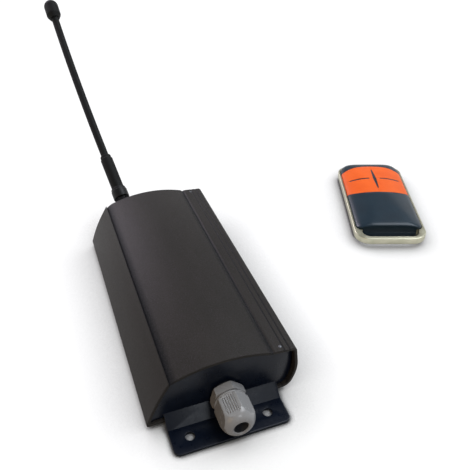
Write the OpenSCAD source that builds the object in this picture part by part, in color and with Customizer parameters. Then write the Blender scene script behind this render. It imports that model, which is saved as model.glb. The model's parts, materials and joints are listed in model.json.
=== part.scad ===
// Radio control set for a crane: a surface-mounted receiver and its hand transmitter.
// Millimetres, +Z up. The origin is the centre of the receiver's four foot holes, on the mounting surface.
// The receiver lies along Y with its cable gland at the -Y end and its whip antenna at the +Y end.

/* [Housing] */
// Length of the extruded housing
body_l = 150; // [120:1:200]
// Width of the housing's section
body_w = 75; // [70:1:84]
// Height of the section above the housing's floor
body_h = 30.6; // [29:0.2:38]
// Height of the housing's floor above the mounting surface
floor_z = 2.6; // [2.4:0.1:4]
// Wall of the extrusion
wall_t = 1.5; // [1.3:0.1:1.9]
// Radius of the soft cove beside the left crest
cove_r = 2.6; // [2:0.1:3.4]
// Depth of the cove
cove_depth = 0.8; // [0.5:0.05:0.9]
// Radius of the valley line beside the shoulder
valley_r = 0.7; // [0.5:0.05:1]
// Radius of the two fine grooves on the shoulder
groove_r = 0.4; // [0.3:0.05:0.6]

/* [End caps] */
// How far a cap's face lies inside the housing's end
cap_recess = 1.2; // [0.6:0.1:2]
// Length of a cap inside the housing
cap_l = 10; // [9.5:0.5:14]
// Thickness of a cap's face
cap_t = 3; // [2.5:0.1:4]
// Wall of the rim behind a cap's face
rim_t = 3; // [2.6:0.1:3.4]
// Eased edge round a cap's face
cap_edge = 0.7; // [0.4:0.1:1]
// Clearance between a cap and the extrusion
cap_fit = 0.2; // [0.1:0.05:0.25]
// Width of the seal's groove
seal_w = 2.4; // [1.8:0.1:2.8]
// Depth of the seal's groove
seal_depth = 1.4; // [1:0.1:1.6]
// Distance of the groove from the inner end of the rim
seal_lip = 0.8; // [0.6:0.1:1]

/* [Mounting feet] */
// Width of a foot
foot_w = 56; // [50:1:60]
// Thickness of a foot's plate
foot_t = 1.5; // [1.2:0.1:1.7]
// Reach of a foot beyond the housing's end
foot_out = 18; // [17:0.5:24]
// Corner radius of a foot
foot_r = 3; // [1:0.5:5]
// Distance between the two holes of a foot
hole_pitch = 38; // [34:0.5:42]
// Distance of the foot holes from the housing's end
hole_out = 10.2; // [9:0.2:12]
// Diameter of a foot hole
hole_d = 4.5; // [4:0.1:5]
// Height of the foot's sloping web at the cap's face
web_h = 7.2; // [6.8:0.1:7.6]
// Reach of the web beyond the housing's end
web_out = 4.4; // [3.8:0.1:5]

/* [Cable gland] */
// Sideways place of the gland
gland_x = 2; // [-2:0.5:6]
// Height of the gland's axis
gland_z = 10.9; // [10.8:0.1:11.6]
// Width across the flats of the fixed hexagon
gland_hex_af = 15; // [14:0.1:15.4]
// Thickness of the hexagon
gland_hex_t = 4.4; // [3.6:0.1:5]
// Radius of the thread that screws into the cap
gland_thread_r = 5.9; // [5.5:0.1:6]
// Diameter of the dome nut
gland_nut_d = 17; // [16.2:0.1:17.4]
// Reach of the dome nut from the cap's face
gland_out = 21.9; // [21:0.1:24]
// Radius of the cable opening in the dome nut
gland_mouth_r = 3.5; // [3.4:0.05:3.9]
// Radius of the seal's cable bore
cable_r = 3.25; // [2.8:0.05:3.3]

/* [Antenna] */
// Sideways place of the antenna connector
conn_x = -11.9; // [-14:0.1:-9]
// Depth of the connector's axis below the section's full height
conn_drop = 12.4; // [11.8:0.1:14]
// Reach of the knuckle's pin beyond the housing's end
pivot_out = 9; // [8.8:0.1:12]
// Lean of the whip to the left of upright
whip_lean = 12; // [0:1:30]
// Tilt of the whip up from the housing's length
whip_tilt = 31; // [0:1:90]
// Length of the antenna from the pin to its tip
whip_l = 178; // [150:1:240]
// Radius of the collar above the knuckle
collar_r = 5.15; // [4.8:0.05:5.6]
// Radius of the stiff sleeve
sleeve_r = 4; // [3.6:0.1:4.6]
// Length from the pin to the sleeve's top
sleeve_top = 38.2; // [30:0.5:50]
// Radius of the rubber-covered whip
whip_r = 2.55; // [2.2:0.05:3]
// Radius of the moulded tip
tip_r = 5.1; // [4:0.1:6]
// Length of the moulded tip
tip_l = 16.5; // [14:0.5:22]
// Radius of the whip's slight bow
bow_r = 2400; // [1200:50:6000]

/* [Receiver board] */
// How much narrower than the housing the circuit board is
board_side = 10; // [9:0.5:13]
// Room between the circuit board's end and a cap
board_clear = 5.8; // [4:0.2:9]
// Thickness of the circuit board
board_t = 1.6; // [1.2:0.1:2]
// Height of the board's underside
board_z = 8.1; // [7.6:0.1:8.6]
// Shift of the board to the right
board_shift = 1.6; // [1:0.1:2]
// Pitch of the screw terminals
pole_pitch = 5.08; // [5:0.01:5.2]
// Number of screw terminals
pole_count = 6; // [4:1:7]
// Travel of the learn button
learn_travel = 0.25; // [0.15:0.05:0.35]

/* [Hand transmitter] */
// Width of the transmitter's shell
fob_w = 43; // [40:0.5:46]
// Length of the transmitter's shell
fob_l = 80; // [76:0.5:86]
// Thickness of the transmitter at its middle
fob_t = 13; // [12.6:0.1:15]
// Corner radius of the shell at the key end
fob_top_r = 7; // [5:0.5:9]
// Corner radius of the shell at the loop end
fob_low_r = 4; // [3:0.5:6]
// Radius of the crown across the transmitter
crown_r = 52; // [50:1:80]
// Radius of the crown along the transmitter
long_crown_r = 380; // [340:5:600]
// Shell wall
fob_wall = 1.5; // [1.2:0.1:1.8]
// Height of the lower edge of the metal frame
frame_z = 3; // [2.6:0.1:3.4]
// Height of the metal frame's section
frame_h = 4.4; // [4.1:0.1:4.8]
// Thickness of the metal frame along the sides
frame_t = 1.6; // [1.2:0.1:2]
// Width of the bar across the key loop
bar_w = 3.4; // [3:0.1:4.5]
// Clear length of the key loop
loop_l = 7.4; // [7.2:0.1:9]
// Outer corner radius of the key loop
loop_r = 10; // [8:0.5:11]
// Thickness of the keys
key_t = 1.8; // [1.6:0.1:2]
// Travel of a key
key_travel = 0.4; // [0.2:0.05:0.45]
// Width of the hairline between two keys
key_gap = 0.2; // [0.15:0.05:0.4]
// Width of the tapered slit at its middle
slit_w = 2.4; // [1.4:0.1:2.8]
// Length of the tapered slit
slit_l = 27; // [22:0.5:30]
// Distance of the transmitter to the right of the receiver's axis
fob_x = 160; // [120:1:200]
// Distance of the transmitter behind the receiver's middle
fob_y = 50; // [0:1:80]
// Turn of the transmitter on the surface
fob_turn = -20; // [-40:1:0]

/* [Hidden] */

// Overrun of every cut past the face it opens
overrun = 1;
// Clearance of parts that are pushed together
fit = 0.1;
// Running clearance of a pin or spigot in its hole
run_fit = 0.05;
// Clearance between parts that pass each other
gap = 0.3;
$fn = 64;
arc_steps = 14;

// Corners of the housing's section, anticlockwise from the bottom left: share of the width from the
// mounting centre line, share of the height above the floor, and share of the shorter neighbouring
// side that the rounding takes
section_shares = [[-0.492, 0, 0.12], [0.456, 0, 0.34], [0.5205, 0.325, 0.62], [0.4975, 0.834, 0.145],
    [0.332, 0.8675, 0], [0.035, 1.11, 0.95], [-0.328, 0.8245, 0.028], [-0.436, 0.4, 0.8]];
// Places of the cove and the two fine grooves, as shares of the width
cove_share = -0.3;
groove_shares = [0.413, 0.449];

end_y = body_l / 2;
face_y = end_y - cap_recess;
plug_y = face_y - cap_l;
plug_inset = wall_t + cap_fit;
inside_z = floor_z + plug_inset;
conn_z = floor_z + body_h - conn_drop;
seal_y = plug_y + seal_lip + seal_w / 2;

// Unit vector along v
function unit(v) = v / norm(v);
// Neighbours of corner i in a closed list
function before(list, i) = list[(i + len(list) - 1) % len(list)];
function after(list, i) = list[(i + 1) % len(list)];
function spot(corner) = [corner.x, corner.y];
function to_before(list, i) = spot(before(list, i)) - spot(list[i]);
function to_after(list, i) = spot(after(list, i)) - spot(list[i]);
// Half the angle between the two sides that meet at corner i
function half_angle(list, i) = acos(unit(to_before(list, i)) * unit(to_after(list, i))) / 2;
function bisector(list, i) = unit(unit(to_before(list, i)) + unit(to_after(list, i)));
function is_convex(list, i) = cross(-to_before(list, i), to_after(list, i)) > 0;
// Turns each corner's rounding share into a radius
function with_radii(list) = [for (i = [0 : len(list) - 1])
    [list[i].x, list[i].y,
        list[i].z * min(norm(to_before(list, i)), norm(to_after(list, i))) * tan(half_angle(list, i))]];
// Moves an anticlockwise outline of [x, y, radius] corners inwards by d, with each rounding kept
// within the room that its neighbours leave
function inset(list, d) = limited([for (i = [0 : len(list) - 1])
    let (sign = is_convex(list, i) ? 1 : -1,
        moved = spot(list[i]) + bisector(list, i) * sign * d / sin(half_angle(list, i)))
    [moved.x, moved.y, max(list[i].z - sign * d, 0)]]);
// Length of a side that the rounding of its corner i takes
function taken(list, i) = list[i].z / tan(half_angle(list, i));
function room(list, i) = let (count = len(list))
    min(norm(to_before(list, i)) - taken(list, (i + count - 1) % count),
        norm(to_after(list, i)) - taken(list, (i + 1) % count));
room_share = 0.96;
function limited(list) = [for (i = [0 : len(list) - 1])
    [list[i].x, list[i].y,
        min(list[i].z, room_share * max(room(list, i), 0) * tan(half_angle(list, i)))]];
// Points of the arc that rounds corner i, or the corner itself where its radius is zero
function corner_points(list, i) = list[i].z == 0 ? [spot(list[i])] :
    let (r = list[i].z, half = half_angle(list, i),
        centre = spot(list[i]) + bisector(list, i) * r / sin(half),
        first = spot(list[i]) + unit(to_before(list, i)) * r / tan(half) - centre,
        last = spot(list[i]) + unit(to_after(list, i)) * r / tan(half) - centre,
        start = atan2(first.y, first.x),
        turn = atan2(cross(first, last), first * last))
    [for (k = [0 : arc_steps]) centre + r * [cos(start + turn * k / arc_steps),
        sin(start + turn * k / arc_steps)]];
function rounded(list) = [for (i = [0 : len(list) - 1]) each corner_points(list, i)];
// Corners of a rectangle from low to high, with a radius at its low and its high end
function box_corners(low, high, low_r, high_r) =
    [[low.x, low.y, low_r], [high.x, low.y, low_r], [high.x, high.y, high_r], [low.x, high.y, high_r]];

section = with_radii([for (s = section_shares) [s.x * body_w, floor_z + s.y * body_h, s.z]]);
section_top = [for (i = [3 : 6]) each corner_points(section, i)];
// Height of the housing's top at x
function top_z(x) = lookup(x, section_top);
valley_x = section[4].x;

// The housing's section inset by d, past the wall from the wall's own inner outline
function inner_section(d) = d > wall_t ? inset(inset(section, wall_t), d - wall_t) : inset(section, d);
module section_slab(low, high, d) {
    translate([0, high, 0]) rotate([90, 0, 0]) linear_extrude(high - low)
        polygon(rounded(inner_section(d)));
}
// A rod of radius r along Y, or along X
module y_rod(r, low, high) {
    translate([0, low, 0]) rotate([-90, 0, 0]) cylinder(r = r, h = high - low);
}
module x_rod(r, low, high) {
    translate([low, 0, 0]) rotate([0, 90, 0]) cylinder(r = r, h = high - low);
}
// A box between two corners
module block(low, high) {
    translate(low) cube(high - low);
}
// A tube standing on the plane z = low
module tube(outer, inner, low, high) {
    translate([0, 0, low]) difference() {
        cylinder(r = outer, h = high - low);
        translate([0, 0, -overrun]) cylinder(r = inner, h = high - low + 2 * overrun);
    }
}

// Screws through the floor, and lock pins through the shoulder
screw_r = 1.45;
screw_head_r = 2.7;
screw_head_t = 1.6;
screw_l = 8;
screw_x = 25;
screw_y = seal_y + seal_w / 2 + seal_lip + screw_r;
boss_w = 7.6;
pin_r = 0.8;
pin_l = 3.4;
pin_x = 0.397 * body_w;
pin_y = end_y - cap_recess - cap_edge - pin_r - gap;

// The four corners of a pattern that repeats at both ends
module at_screws() {
    for (side = [-1, 1], end = [-1, 1]) translate([side * screw_x, end * screw_y, 0]) children();
}
module at_pins() {
    for (end = [-1, 1]) translate([pin_x, end * pin_y, top_z(pin_x)]) children();
}

// Rails of the extrusion that hold the board's edges
rail_t = 1.5;
rail_grip = 1.6;
rail_end = plug_y - fit;
board_w = body_w - board_side;
board_end = plug_y - board_clear;
board_l = 2 * board_end;
board_low_x = board_shift - board_w / 2;
board_high_x = board_shift + board_w / 2;
board_top = board_z + board_t;
board_room = floor_z + body_h - board_top;

module rails() {
    intersection() {
        section_slab(-rail_end, rail_end, wall_t / 2);
        for (z = [board_z - rail_t, board_top + fit]) {
            block([-body_w, -body_l, z], [board_low_x + rail_grip, body_l, z + rail_t]);
            block([board_high_x - rail_grip, -body_l, z], [body_w, body_l, z + rail_t]);
        }
    }
}
module housing_shell() {
    color([0.31, 0.3, 0.32]) difference() {
        union() {
            difference() {
                section_slab(-end_y, end_y, 0);
                section_slab(-end_y - overrun, end_y + overrun, wall_t);
            }
            rails();
        }
        groove(cove_share * body_w, cove_r, cove_depth);
        groove(valley_x, valley_r, valley_r);
        for (s = groove_shares) groove(s * body_w, groove_r, groove_r);
        at_screws() translate([0, 0, floor_z - overrun])
            cylinder(r = screw_r + fit, h = wall_t + 2 * overrun);
        at_pins() translate([0, 0, -pin_l]) cylinder(r = pin_r + run_fit, h = pin_l + overrun);
    }
}
// A round-bottomed groove along the top of the housing
module groove(x, r, depth) {
    translate([x, 0, top_z(x) + r - depth]) y_rod(r, -end_y - overrun, end_y + overrun);
}

// A cap for the +Y end, with its foot: the cap's plug, face, rim, screw bosses and seal groove
module end_cap() {
    difference() {
        union() {
            difference() {
                union() {
                    section_slab(plug_y, face_y - cap_edge, plug_inset);
                    section_slab(plug_y, face_y, plug_inset + cap_edge);
                }
                section_slab(plug_y - overrun, face_y - cap_t, plug_inset + rim_t);
            }
            intersection() {
                section_slab(plug_y, face_y - cap_t / 2, plug_inset);
                for (side = [-1, 1]) block([side * screw_x - boss_w / 2, plug_y, 0],
                    [side * screw_x + boss_w / 2, face_y, inside_z + screw_l]);
            }
            foot();
        }
        difference() {
            section_slab(seal_y - seal_w / 2, seal_y + seal_w / 2, 0);
            section_slab(seal_y - seal_w, seal_y + seal_w, plug_inset + seal_depth);
        }
        for (side = [-1, 1]) {
            translate([side * screw_x, screw_y, 0]) cylinder(r = screw_r + run_fit, h = floor_z + screw_l);
            translate([side * hole_pitch / 2, end_y + hole_out, -overrun])
                cylinder(d = hole_d, h = foot_t + 2 * overrun);
        }
        translate([pin_x, pin_y, top_z(pin_x) - pin_l - fit]) cylinder(r = pin_r + run_fit, h = body_h);
    }
}
module foot() {
    translate([0, end_y, 0]) {
        linear_extrude(foot_t) polygon(rounded(box_corners([-foot_w / 2, gap], [foot_w / 2, foot_out],
            0, foot_r)));
        translate([-foot_w / 2, 0, 0]) rotate([90, 0, 90]) linear_extrude(foot_w)
            polygon([[gap, foot_t / 2], [web_out, foot_t / 2], [web_out, foot_t], [-cap_recess, web_h],
                [-cap_recess - cap_t / 2, web_h], [-cap_recess - cap_t / 2, inside_z], [gap, inside_z]]);
    }
}

// Places on the gland's axis: z runs outwards from the cap's face
module on_gland() {
    translate([gland_x, -face_y, gland_z]) rotate([90, 0, 0]) children();
}
gland_turn = 16.5;
gland_hex_r = gland_hex_af / sqrt(3);
gland_washer_t = cap_recess + 2 * fit;
gland_washer_r = gland_z - floor_z - wall_t - 2 * fit;
gland_hex_z = gland_washer_t + gland_hex_t;
gland_boss_r = 8;
gland_bore_r = 4.7;
gland_barrel_r = 6.6;
gland_barrel_z = 13;
gland_nut_z = gland_hex_z + gap;
gland_nut_wall = 4.1;
gland_clamp_t = gland_out - gland_nut_wall - gland_barrel_z - 2 * fit;
gland_dome_l = 6.4;
gland_lip = 0.4;
gland_hole_l = cap_l - seal_lip - seal_w - gap;
gland_thread_l = gland_hole_l - gap;
gland_flange_t = 1.4;
gland_flats = 6;
gland_flat = 0.6;
gland_rib_w = 0.5;
gland_rib_depth = 0.3;
gland_rib_pitch = 1.1;
gland_side_ribs = 2;

module front_end_cap() {
    color([0.12, 0.15, 0.19]) difference() {
        union() {
            mirror([0, 1, 0]) end_cap();
            intersection() {
                section_slab(-face_y + cap_t / 2, -plug_y, plug_inset);
                on_gland() translate([0, 0, -gland_thread_l])
                    cylinder(r = gland_boss_r, h = gland_thread_l - cap_t / 2);
            }
        }
        on_gland() {
            translate([0, 0, -gland_hole_l])
                cylinder(r = gland_thread_r + run_fit, h = gland_hole_l + overrun);
            cylinder(r = gland_hex_r + gap, h = gland_hex_z + gap + cap_recess);
        }
    }
}
module rear_end_cap() {
    color([0.12, 0.15, 0.19]) difference() {
        end_cap();
        on_connector() y_rod(conn_r + run_fit, -cap_l, overrun);
    }
}
module cap_seal() {
    difference() {
        section_slab(seal_y - seal_w / 2 + fit, seal_y + seal_w / 2 - fit, wall_t + fit / 2);
        section_slab(seal_y - seal_w, seal_y + seal_w, plug_inset + seal_depth - fit);
    }
}
module front_cap_seal() {
    color([0.08, 0.08, 0.09]) mirror([0, 1, 0]) cap_seal();
}
module rear_cap_seal() {
    color([0.08, 0.08, 0.09]) cap_seal();
}
// Pan-head screws up through the housing's floor into the caps' bosses
module floor_screws() {
    color([0.7, 0.71, 0.73]) at_screws() translate([0, 0, floor_z]) difference() {
        union() {
            translate([0, 0, -screw_head_t]) cylinder(r = screw_head_r, h = screw_head_t);
            cylinder(r = screw_r, h = screw_l - gap);
        }
        for (turn = [0, 90]) rotate([0, 0, turn])
            block([-screw_head_r / 2, -screw_r / 4, -screw_head_t - overrun],
                [screw_head_r / 2, screw_r / 4, -screw_head_t / 2]);
    }
}
module cap_lock_pins() {
    color([0.75, 0.75, 0.78]) at_pins() translate([0, 0, -pin_l]) cylinder(r = pin_r, h = pin_l + fit);
}

module gland_body() {
    color([0.6, 0.6, 0.6]) on_gland() difference() {
        union() {
            translate([0, 0, -gland_thread_l])
                cylinder(r = gland_thread_r, h = gland_thread_l + gland_hex_z);
            translate([0, 0, gland_washer_t]) rotate([0, 0, gland_turn])
                cylinder(r = gland_hex_r, h = gland_hex_t, $fn = 6);
            translate([0, 0, gland_hex_z - fit])
                cylinder(r = gland_barrel_r, h = gland_barrel_z - gland_hex_z + fit);
        }
        translate([0, 0, -cap_l]) cylinder(r = gland_bore_r, h = cap_l + gland_barrel_z + overrun);
    }
}
module gland_washer() {
    color([0.1, 0.1, 0.1]) on_gland() tube(gland_washer_r, gland_thread_r + fit, 0, gland_washer_t);
}
module gland_clamp() {
    claws = 8;
    claw_gap = 0.8;
    color([0.62, 0.62, 0.62]) on_gland() difference() {
        tube(gland_barrel_r - fit, gland_bore_r, gland_barrel_z + fit, gland_barrel_z + gland_clamp_t);
        for (i = [1 : claws]) rotate([0, 0, i * 360 / claws])
            block([0, -claw_gap / 2, gland_barrel_z + gland_clamp_t / 3],
                [gland_barrel_r + overrun, claw_gap / 2, gland_out]);
    }
}
module gland_seal() {
    color([0.12, 0.12, 0.12]) on_gland()
        tube(gland_bore_r - fit, cable_r, gland_hex_z, gland_barrel_z + gland_clamp_t);
}
module gland_dome_nut() {
    nut_r = gland_nut_d / 2;
    bore_r = gland_barrel_r + fit;
    roof_z = gland_out - gland_nut_wall;
    flat_z = gland_nut_z + gland_flange_t;
    flat_x = nut_r - gland_flat;
    mouth_r = gland_mouth_r + gland_lip;
    dome = [for (k = [0 : arc_steps]) [mouth_r + (nut_r - mouth_r) * cos(90 * k / arc_steps),
        gland_out - gland_dome_l * (1 - sin(90 * k / arc_steps))]];
    color([0.63, 0.63, 0.63]) on_gland() difference() {
        rotate_extrude() polygon([[bore_r, gland_nut_z], [nut_r, gland_nut_z], each dome,
            [gland_mouth_r, gland_out], [gland_mouth_r, roof_z], [bore_r, roof_z]]);
        for (side = [1 : gland_flats]) rotate([0, 0, (side + 0.5) * 360 / gland_flats + gland_turn]) {
            block([flat_x, -nut_r, flat_z], [nut_r + overrun, nut_r, gland_out]);
            if (side % 2 == 0) for (i = [-gland_side_ribs : gland_side_ribs])
                translate([0, i * gland_rib_pitch, 0])
                    block([flat_x - gland_rib_depth, -gland_rib_w / 2, flat_z + gap],
                        [nut_r, gland_rib_w / 2, gland_out - gland_dome_l - gap]);
        }
    }
}

// Places on the connector's axis: y runs outwards from the rear cap's face
module on_connector() {
    translate([conn_x, face_y, conn_z]) children();
}
conn_r = 3.1;
conn_flange_r = 4.4;
conn_flange_t = 1.8;
conn_out = 3.4;
conn_core_r = 0.65;
conn_inner_l = 5.6;
conn_pin_l = 1.3;
conn_nut_t = 2;
conn_nut_r = 4.6;
conn_washer_t = 0.6;
coupling_r = 4.6;
coupling_out = 4.4;
// Knuckle: a fork on the swivel, a tongue on the whip's collar and a pin through both
fork_r = 4.4;
fork_slot = 4.4;
ear_r = 4;
tongue_t = fork_slot - 2 * fit;
tongue_r = 3.8;
fork_base = ear_r + gap;
fork_back = pivot_out + cap_recess - coupling_out - fit;
spigot_r = 2;
knuckle_pin_r = 1.2;
collar_low = fork_r + gap;
collar_l = 7.6;
pin_reach = fork_r - fit;

// Places on the knuckle: y runs along the connector's axis, or along the whip
module on_swivel() {
    translate([conn_x, end_y + pivot_out, conn_z]) rotate([0, -whip_lean, 0]) children();
}
module on_whip() {
    on_swivel() rotate([whip_tilt, 0, 0]) children();
}
module antenna_connector() {
    color([0.83, 0.68, 0.36]) on_connector() difference() {
        union() {
            y_rod(conn_r, -cap_t - conn_inner_l, conn_out);
            rotate([-90, 0, 0]) cylinder(r = conn_flange_r, h = conn_flange_t, $fn = 6);
            y_rod(conn_core_r, -cap_t - conn_inner_l - conn_pin_l, 0);
        }
        y_rod(spigot_r + fit, conn_flange_t, conn_out + overrun);
    }
}
module connector_washer() {
    color([0.75, 0.75, 0.76]) on_connector() difference() {
        y_rod(conn_nut_r, -cap_t - conn_washer_t, -cap_t);
        y_rod(conn_r + run_fit, -cap_t - conn_washer_t - overrun, overrun);
    }
}
module connector_nut() {
    color([0.8, 0.66, 0.35]) on_connector() difference() {
        translate([0, -cap_t - conn_washer_t, 0]) rotate([90, 0, 0])
            cylinder(r = conn_nut_r, h = conn_nut_t, $fn = 6);
        y_rod(conn_r + run_fit, -cap_t - conn_washer_t - conn_nut_t - overrun, overrun);
    }
}
module antenna_coupling() {
    color([0.12, 0.12, 0.13]) on_connector() difference() {
        y_rod(coupling_r, conn_flange_t + fit, coupling_out);
        y_rod(conn_r + run_fit, 0, conn_out + fit);
        y_rod(spigot_r + run_fit, 0, coupling_out + overrun);
    }
}
module antenna_swivel() {
    color([0.1, 0.1, 0.11]) on_swivel() difference() {
        union() {
            y_rod(fork_r, -fork_back, -fork_base);
            y_rod(spigot_r, -fork_back - coupling_out + conn_flange_t + gap, -fork_base);
            intersection() {
                y_rod(fork_r, -fork_base - fit, ear_r + overrun);
                union() {
                    x_rod(ear_r, -fork_r, fork_r);
                    block([-fork_r, -fork_base - fit, -ear_r], [fork_r, 0, ear_r]);
                }
            }
        }
        block([-fork_slot / 2, -fork_base, -fork_r - overrun],
            [fork_slot / 2, ear_r + overrun, fork_r + overrun]);
        x_rod(knuckle_pin_r + run_fit, -fork_r - overrun, fork_r + overrun);
    }
}
module knuckle_pin() {
    color([0.72, 0.73, 0.75]) on_swivel() x_rod(knuckle_pin_r, -pin_reach, pin_reach);
}
module antenna_collar() {
    color([0.09, 0.09, 0.1]) on_whip() difference() {
        union() {
            x_rod(tongue_r, -tongue_t / 2, tongue_t / 2);
            block([-tongue_t / 2, 0, -tongue_r], [tongue_t / 2, collar_low + fit, tongue_r]);
            y_rod(collar_r, collar_low, collar_low + collar_l);
        }
        x_rod(knuckle_pin_r + run_fit, -fork_r, fork_r);
        y_rod(whip_r, collar_low + collar_l / 2, collar_low + collar_l + overrun);
    }
}
sleeve_low = collar_low + collar_l + fit / 2;
module antenna_sleeve() {
    color([0.09, 0.09, 0.1]) on_whip() difference() {
        union() {
            y_rod(sleeve_r, sleeve_low, sleeve_top);
            y_rod(whip_r - run_fit, collar_low + collar_l / 2 + fit, sleeve_low + fit);
        }
        y_rod(whip_r + run_fit, whip_low - fit, sleeve_top + overrun);
    }
}
// The whip is straight inside its sleeve and bows slightly to the right above it
whip_low = sleeve_low + whip_r + fit;
tip_low = whip_l - tip_l;
bow_l = tip_low + tip_l / 4 - sleeve_top;
bow_angle = bow_l / bow_r * 180 / PI;
bow_steps = 24;
tip_socket = tip_l / 4;
module along_bow(length) {
    angle = length / bow_r * 180 / PI;
    on_whip() translate([bow_r * (1 - cos(angle)), sleeve_top + bow_r * sin(angle), 0])
        rotate([0, 0, -angle]) children();
}
module antenna_whip() {
    color([0.1, 0.1, 0.11]) on_whip() {
        y_rod(whip_r, whip_low, sleeve_top);
        translate([bow_r, sleeve_top, 0]) mirror([1, 0, 0])
            rotate_extrude(angle = bow_angle, $fn = bow_steps * 360 / bow_angle)
                translate([bow_r, 0]) circle(r = whip_r, $fn = 32);
    }
}
module antenna_tip() {
    neck_r = whip_r + 0.2 * tip_r;
    taper_l = 0.18 * tip_l;
    dome_base = tip_l - tip_r;
    color([0.09, 0.09, 0.1]) along_bow(bow_l - tip_socket) difference() {
        union() {
            rotate([-90, 0, 0]) cylinder(r1 = neck_r, r2 = tip_r, h = taper_l);
            y_rod(tip_r, taper_l, dome_base);
            translate([0, dome_base, 0]) sphere(r = tip_r);
        }
        y_rod(whip_r + run_fit, -overrun, tip_socket + fit);
    }
}

// Receiver electronics, from the terminals at the gland end to the radio module at the antenna end
pole_l = 8;
pole_h = 10;
pole_y = -board_end + 3 * rail_t;
pole_w = pole_pitch * pole_count;
pole_screw_r = 1.8;
// Sizes of the pieces, as shares of the board's width, its length and the height above it
relay_size_shares = [0.2385, 0.1638, 0.638];
transformer_size_shares = [0.5077, 0.2414, 0.68];
chip_size_shares = [0.16, 0.0655, 0.1];
rf_size_shares = [0.4923, 0.0103, 0.468];
relay_size = on_board_size(relay_size_shares);
transformer_size = on_board_size(transformer_size_shares);
chip_size = on_board_size(chip_size_shares);
rf_size = on_board_size(rf_size_shares);
can_size = [0.28 * rf_size.x, 3 * rf_size.y, 0.41 * rf_size.z];
capacitor_r = 0.077 * board_w;
capacitor_h = 0.53 * board_room;
fuse_r = 0.04 * board_w;
fuse_l = 0.1724 * board_l;
fuse_lift = 1.4;
fuse_side = 1;
fuse_z = fuse_lift + fuse_r;
clip_l = 4;
clip_w = 2 * (fuse_r + fuse_side);
led_r = 1.5;
led_h = 3;
learn_size = [6, 6, 3.4];
learn_button_r = 1.7;
learn_button_h = 2.4;
lead_r = 0.9;
lead_bend = 5;
// Middles of the pieces on the board, as shares of its width and its length from its middle
relay_shares = [[-0.26, -0.263], [0, -0.263], [0.26, -0.263]];
capacitor_shares = [[-0.335, -0.05], [-0.335, 0.06]];
transformer_share = [0.03, 0];
fuse_share = [0.375, -0.06];
chip_share = [-0.29, 0.255];
rf_share = [-0.17, 0.38];
led_share = [0.285, 0.345];
learn_share = [0.13, 0.295];

function on_board_size(shares) = [shares.x * board_w, shares.y * board_l, shares.z * board_room];
module on_board(share) {
    translate([board_shift + share.x * board_w, share.y * board_l, board_top]) children();
}

module receiver_board() {
    color([0.1, 0.36, 0.2]) difference() {
        block([board_low_x, -board_end, board_z], [board_high_x, board_end, board_top]);
        for (side = [-1, 1]) translate([board_shift, side * (board_end - 2 * rail_grip), 0])
            cylinder(r = rail_grip, h = body_h);
    }
}
module terminal_block() {
    color([0.15, 0.45, 0.25]) translate([board_shift - pole_w / 2, pole_y, board_top]) difference() {
        union() {
            cube([pole_w, pole_l, pole_h * 0.6]);
            translate([0, pole_l * 0.2, 0]) cube([pole_w, pole_l * 0.6, pole_h]);
        }
        for (i = [0 : pole_count - 1]) translate([pole_pitch * (i + 0.5), 0, 0]) {
            translate([0, pole_l / 2, pole_h / 2]) cylinder(r = pole_screw_r + fit, h = pole_h);
            translate([0, -overrun, pole_h * 0.3]) rotate([-90, 0, 0])
                cylinder(r = pole_screw_r, h = pole_l * 0.4 + overrun);
        }
    }
}
module terminal_screws() {
    slot_w = pole_screw_r / 3;
    color([0.75, 0.75, 0.77]) for (i = [0 : pole_count - 1])
        translate([board_shift - pole_w / 2 + pole_pitch * (i + 0.5), pole_y + pole_l / 2, 0])
            translate([0, 0, board_top + pole_h / 2]) difference() {
                cylinder(r = pole_screw_r, h = pole_h * 0.35);
                block([-pole_screw_r - overrun, -slot_w / 2, pole_h * 0.25],
                    [pole_screw_r + overrun, slot_w / 2, pole_h]);
            }
}
module relays() {
    case_edge = 0.8;
    half = relay_size / 2;
    color([0.14, 0.3, 0.62]) for (share = relay_shares) on_board(share) {
        linear_extrude(relay_size.z - case_edge)
            polygon(rounded(box_corners([-half.x, -half.y], [half.x, half.y], case_edge, case_edge)));
        block([case_edge - half.x, case_edge - half.y, 0],
            [half.x - case_edge, half.y - case_edge, relay_size.z]);
    }
}
module transformer() {
    core = 0.3 * transformer_size.z;
    half = transformer_size / 2;
    color([0.18, 0.18, 0.2]) on_board(transformer_share) {
        block([-half.x, -half.y, 0], [half.x, half.y, transformer_size.z - core / 4]);
        block([core - half.x, core - half.y, 0], [half.x - core, half.y - core, transformer_size.z]);
    }
}
module capacitors() {
    groove_z = 0.82 * capacitor_h;
    color([0.16, 0.17, 0.3]) for (share = capacitor_shares) on_board(share) difference() {
        cylinder(r = capacitor_r, h = capacitor_h);
        translate([0, 0, groove_z]) tube(capacitor_r + overrun, capacitor_r * 0.94, 0, capacitor_h * 0.06);
    }
}
module fuse_clips() {
    clip_t = 0.5;
    color([0.72, 0.73, 0.75]) on_board(fuse_share) for (end = [-1, 1])
        translate([0, end * (fuse_l - clip_l) / 2, 0]) {
            difference() {
                block([-clip_w / 2, -clip_l / 2, 0], [clip_w / 2, clip_l / 2, fuse_z + fuse_r / 2]);
                block([-clip_w / 2 + clip_t, -clip_l, clip_t], [clip_w / 2 - clip_t, clip_l, body_h]);
            }
            block([-clip_w / 6, -clip_l / 2, 0], [clip_w / 6, clip_l / 2, fuse_lift]);
        }
}
module fuse() {
    band_l = clip_l + 2 * fit;
    color([0.85, 0.85, 0.82]) on_board(fuse_share) translate([0, 0, fuse_z]) {
        y_rod(fuse_r * 0.88, -fuse_l / 2 + band_l / 2, fuse_l / 2 - band_l / 2);
        for (end = [-1, 1]) translate([0, end * (fuse_l - band_l) / 2, 0])
            y_rod(fuse_r, -band_l / 2, band_l / 2);
    }
}
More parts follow.
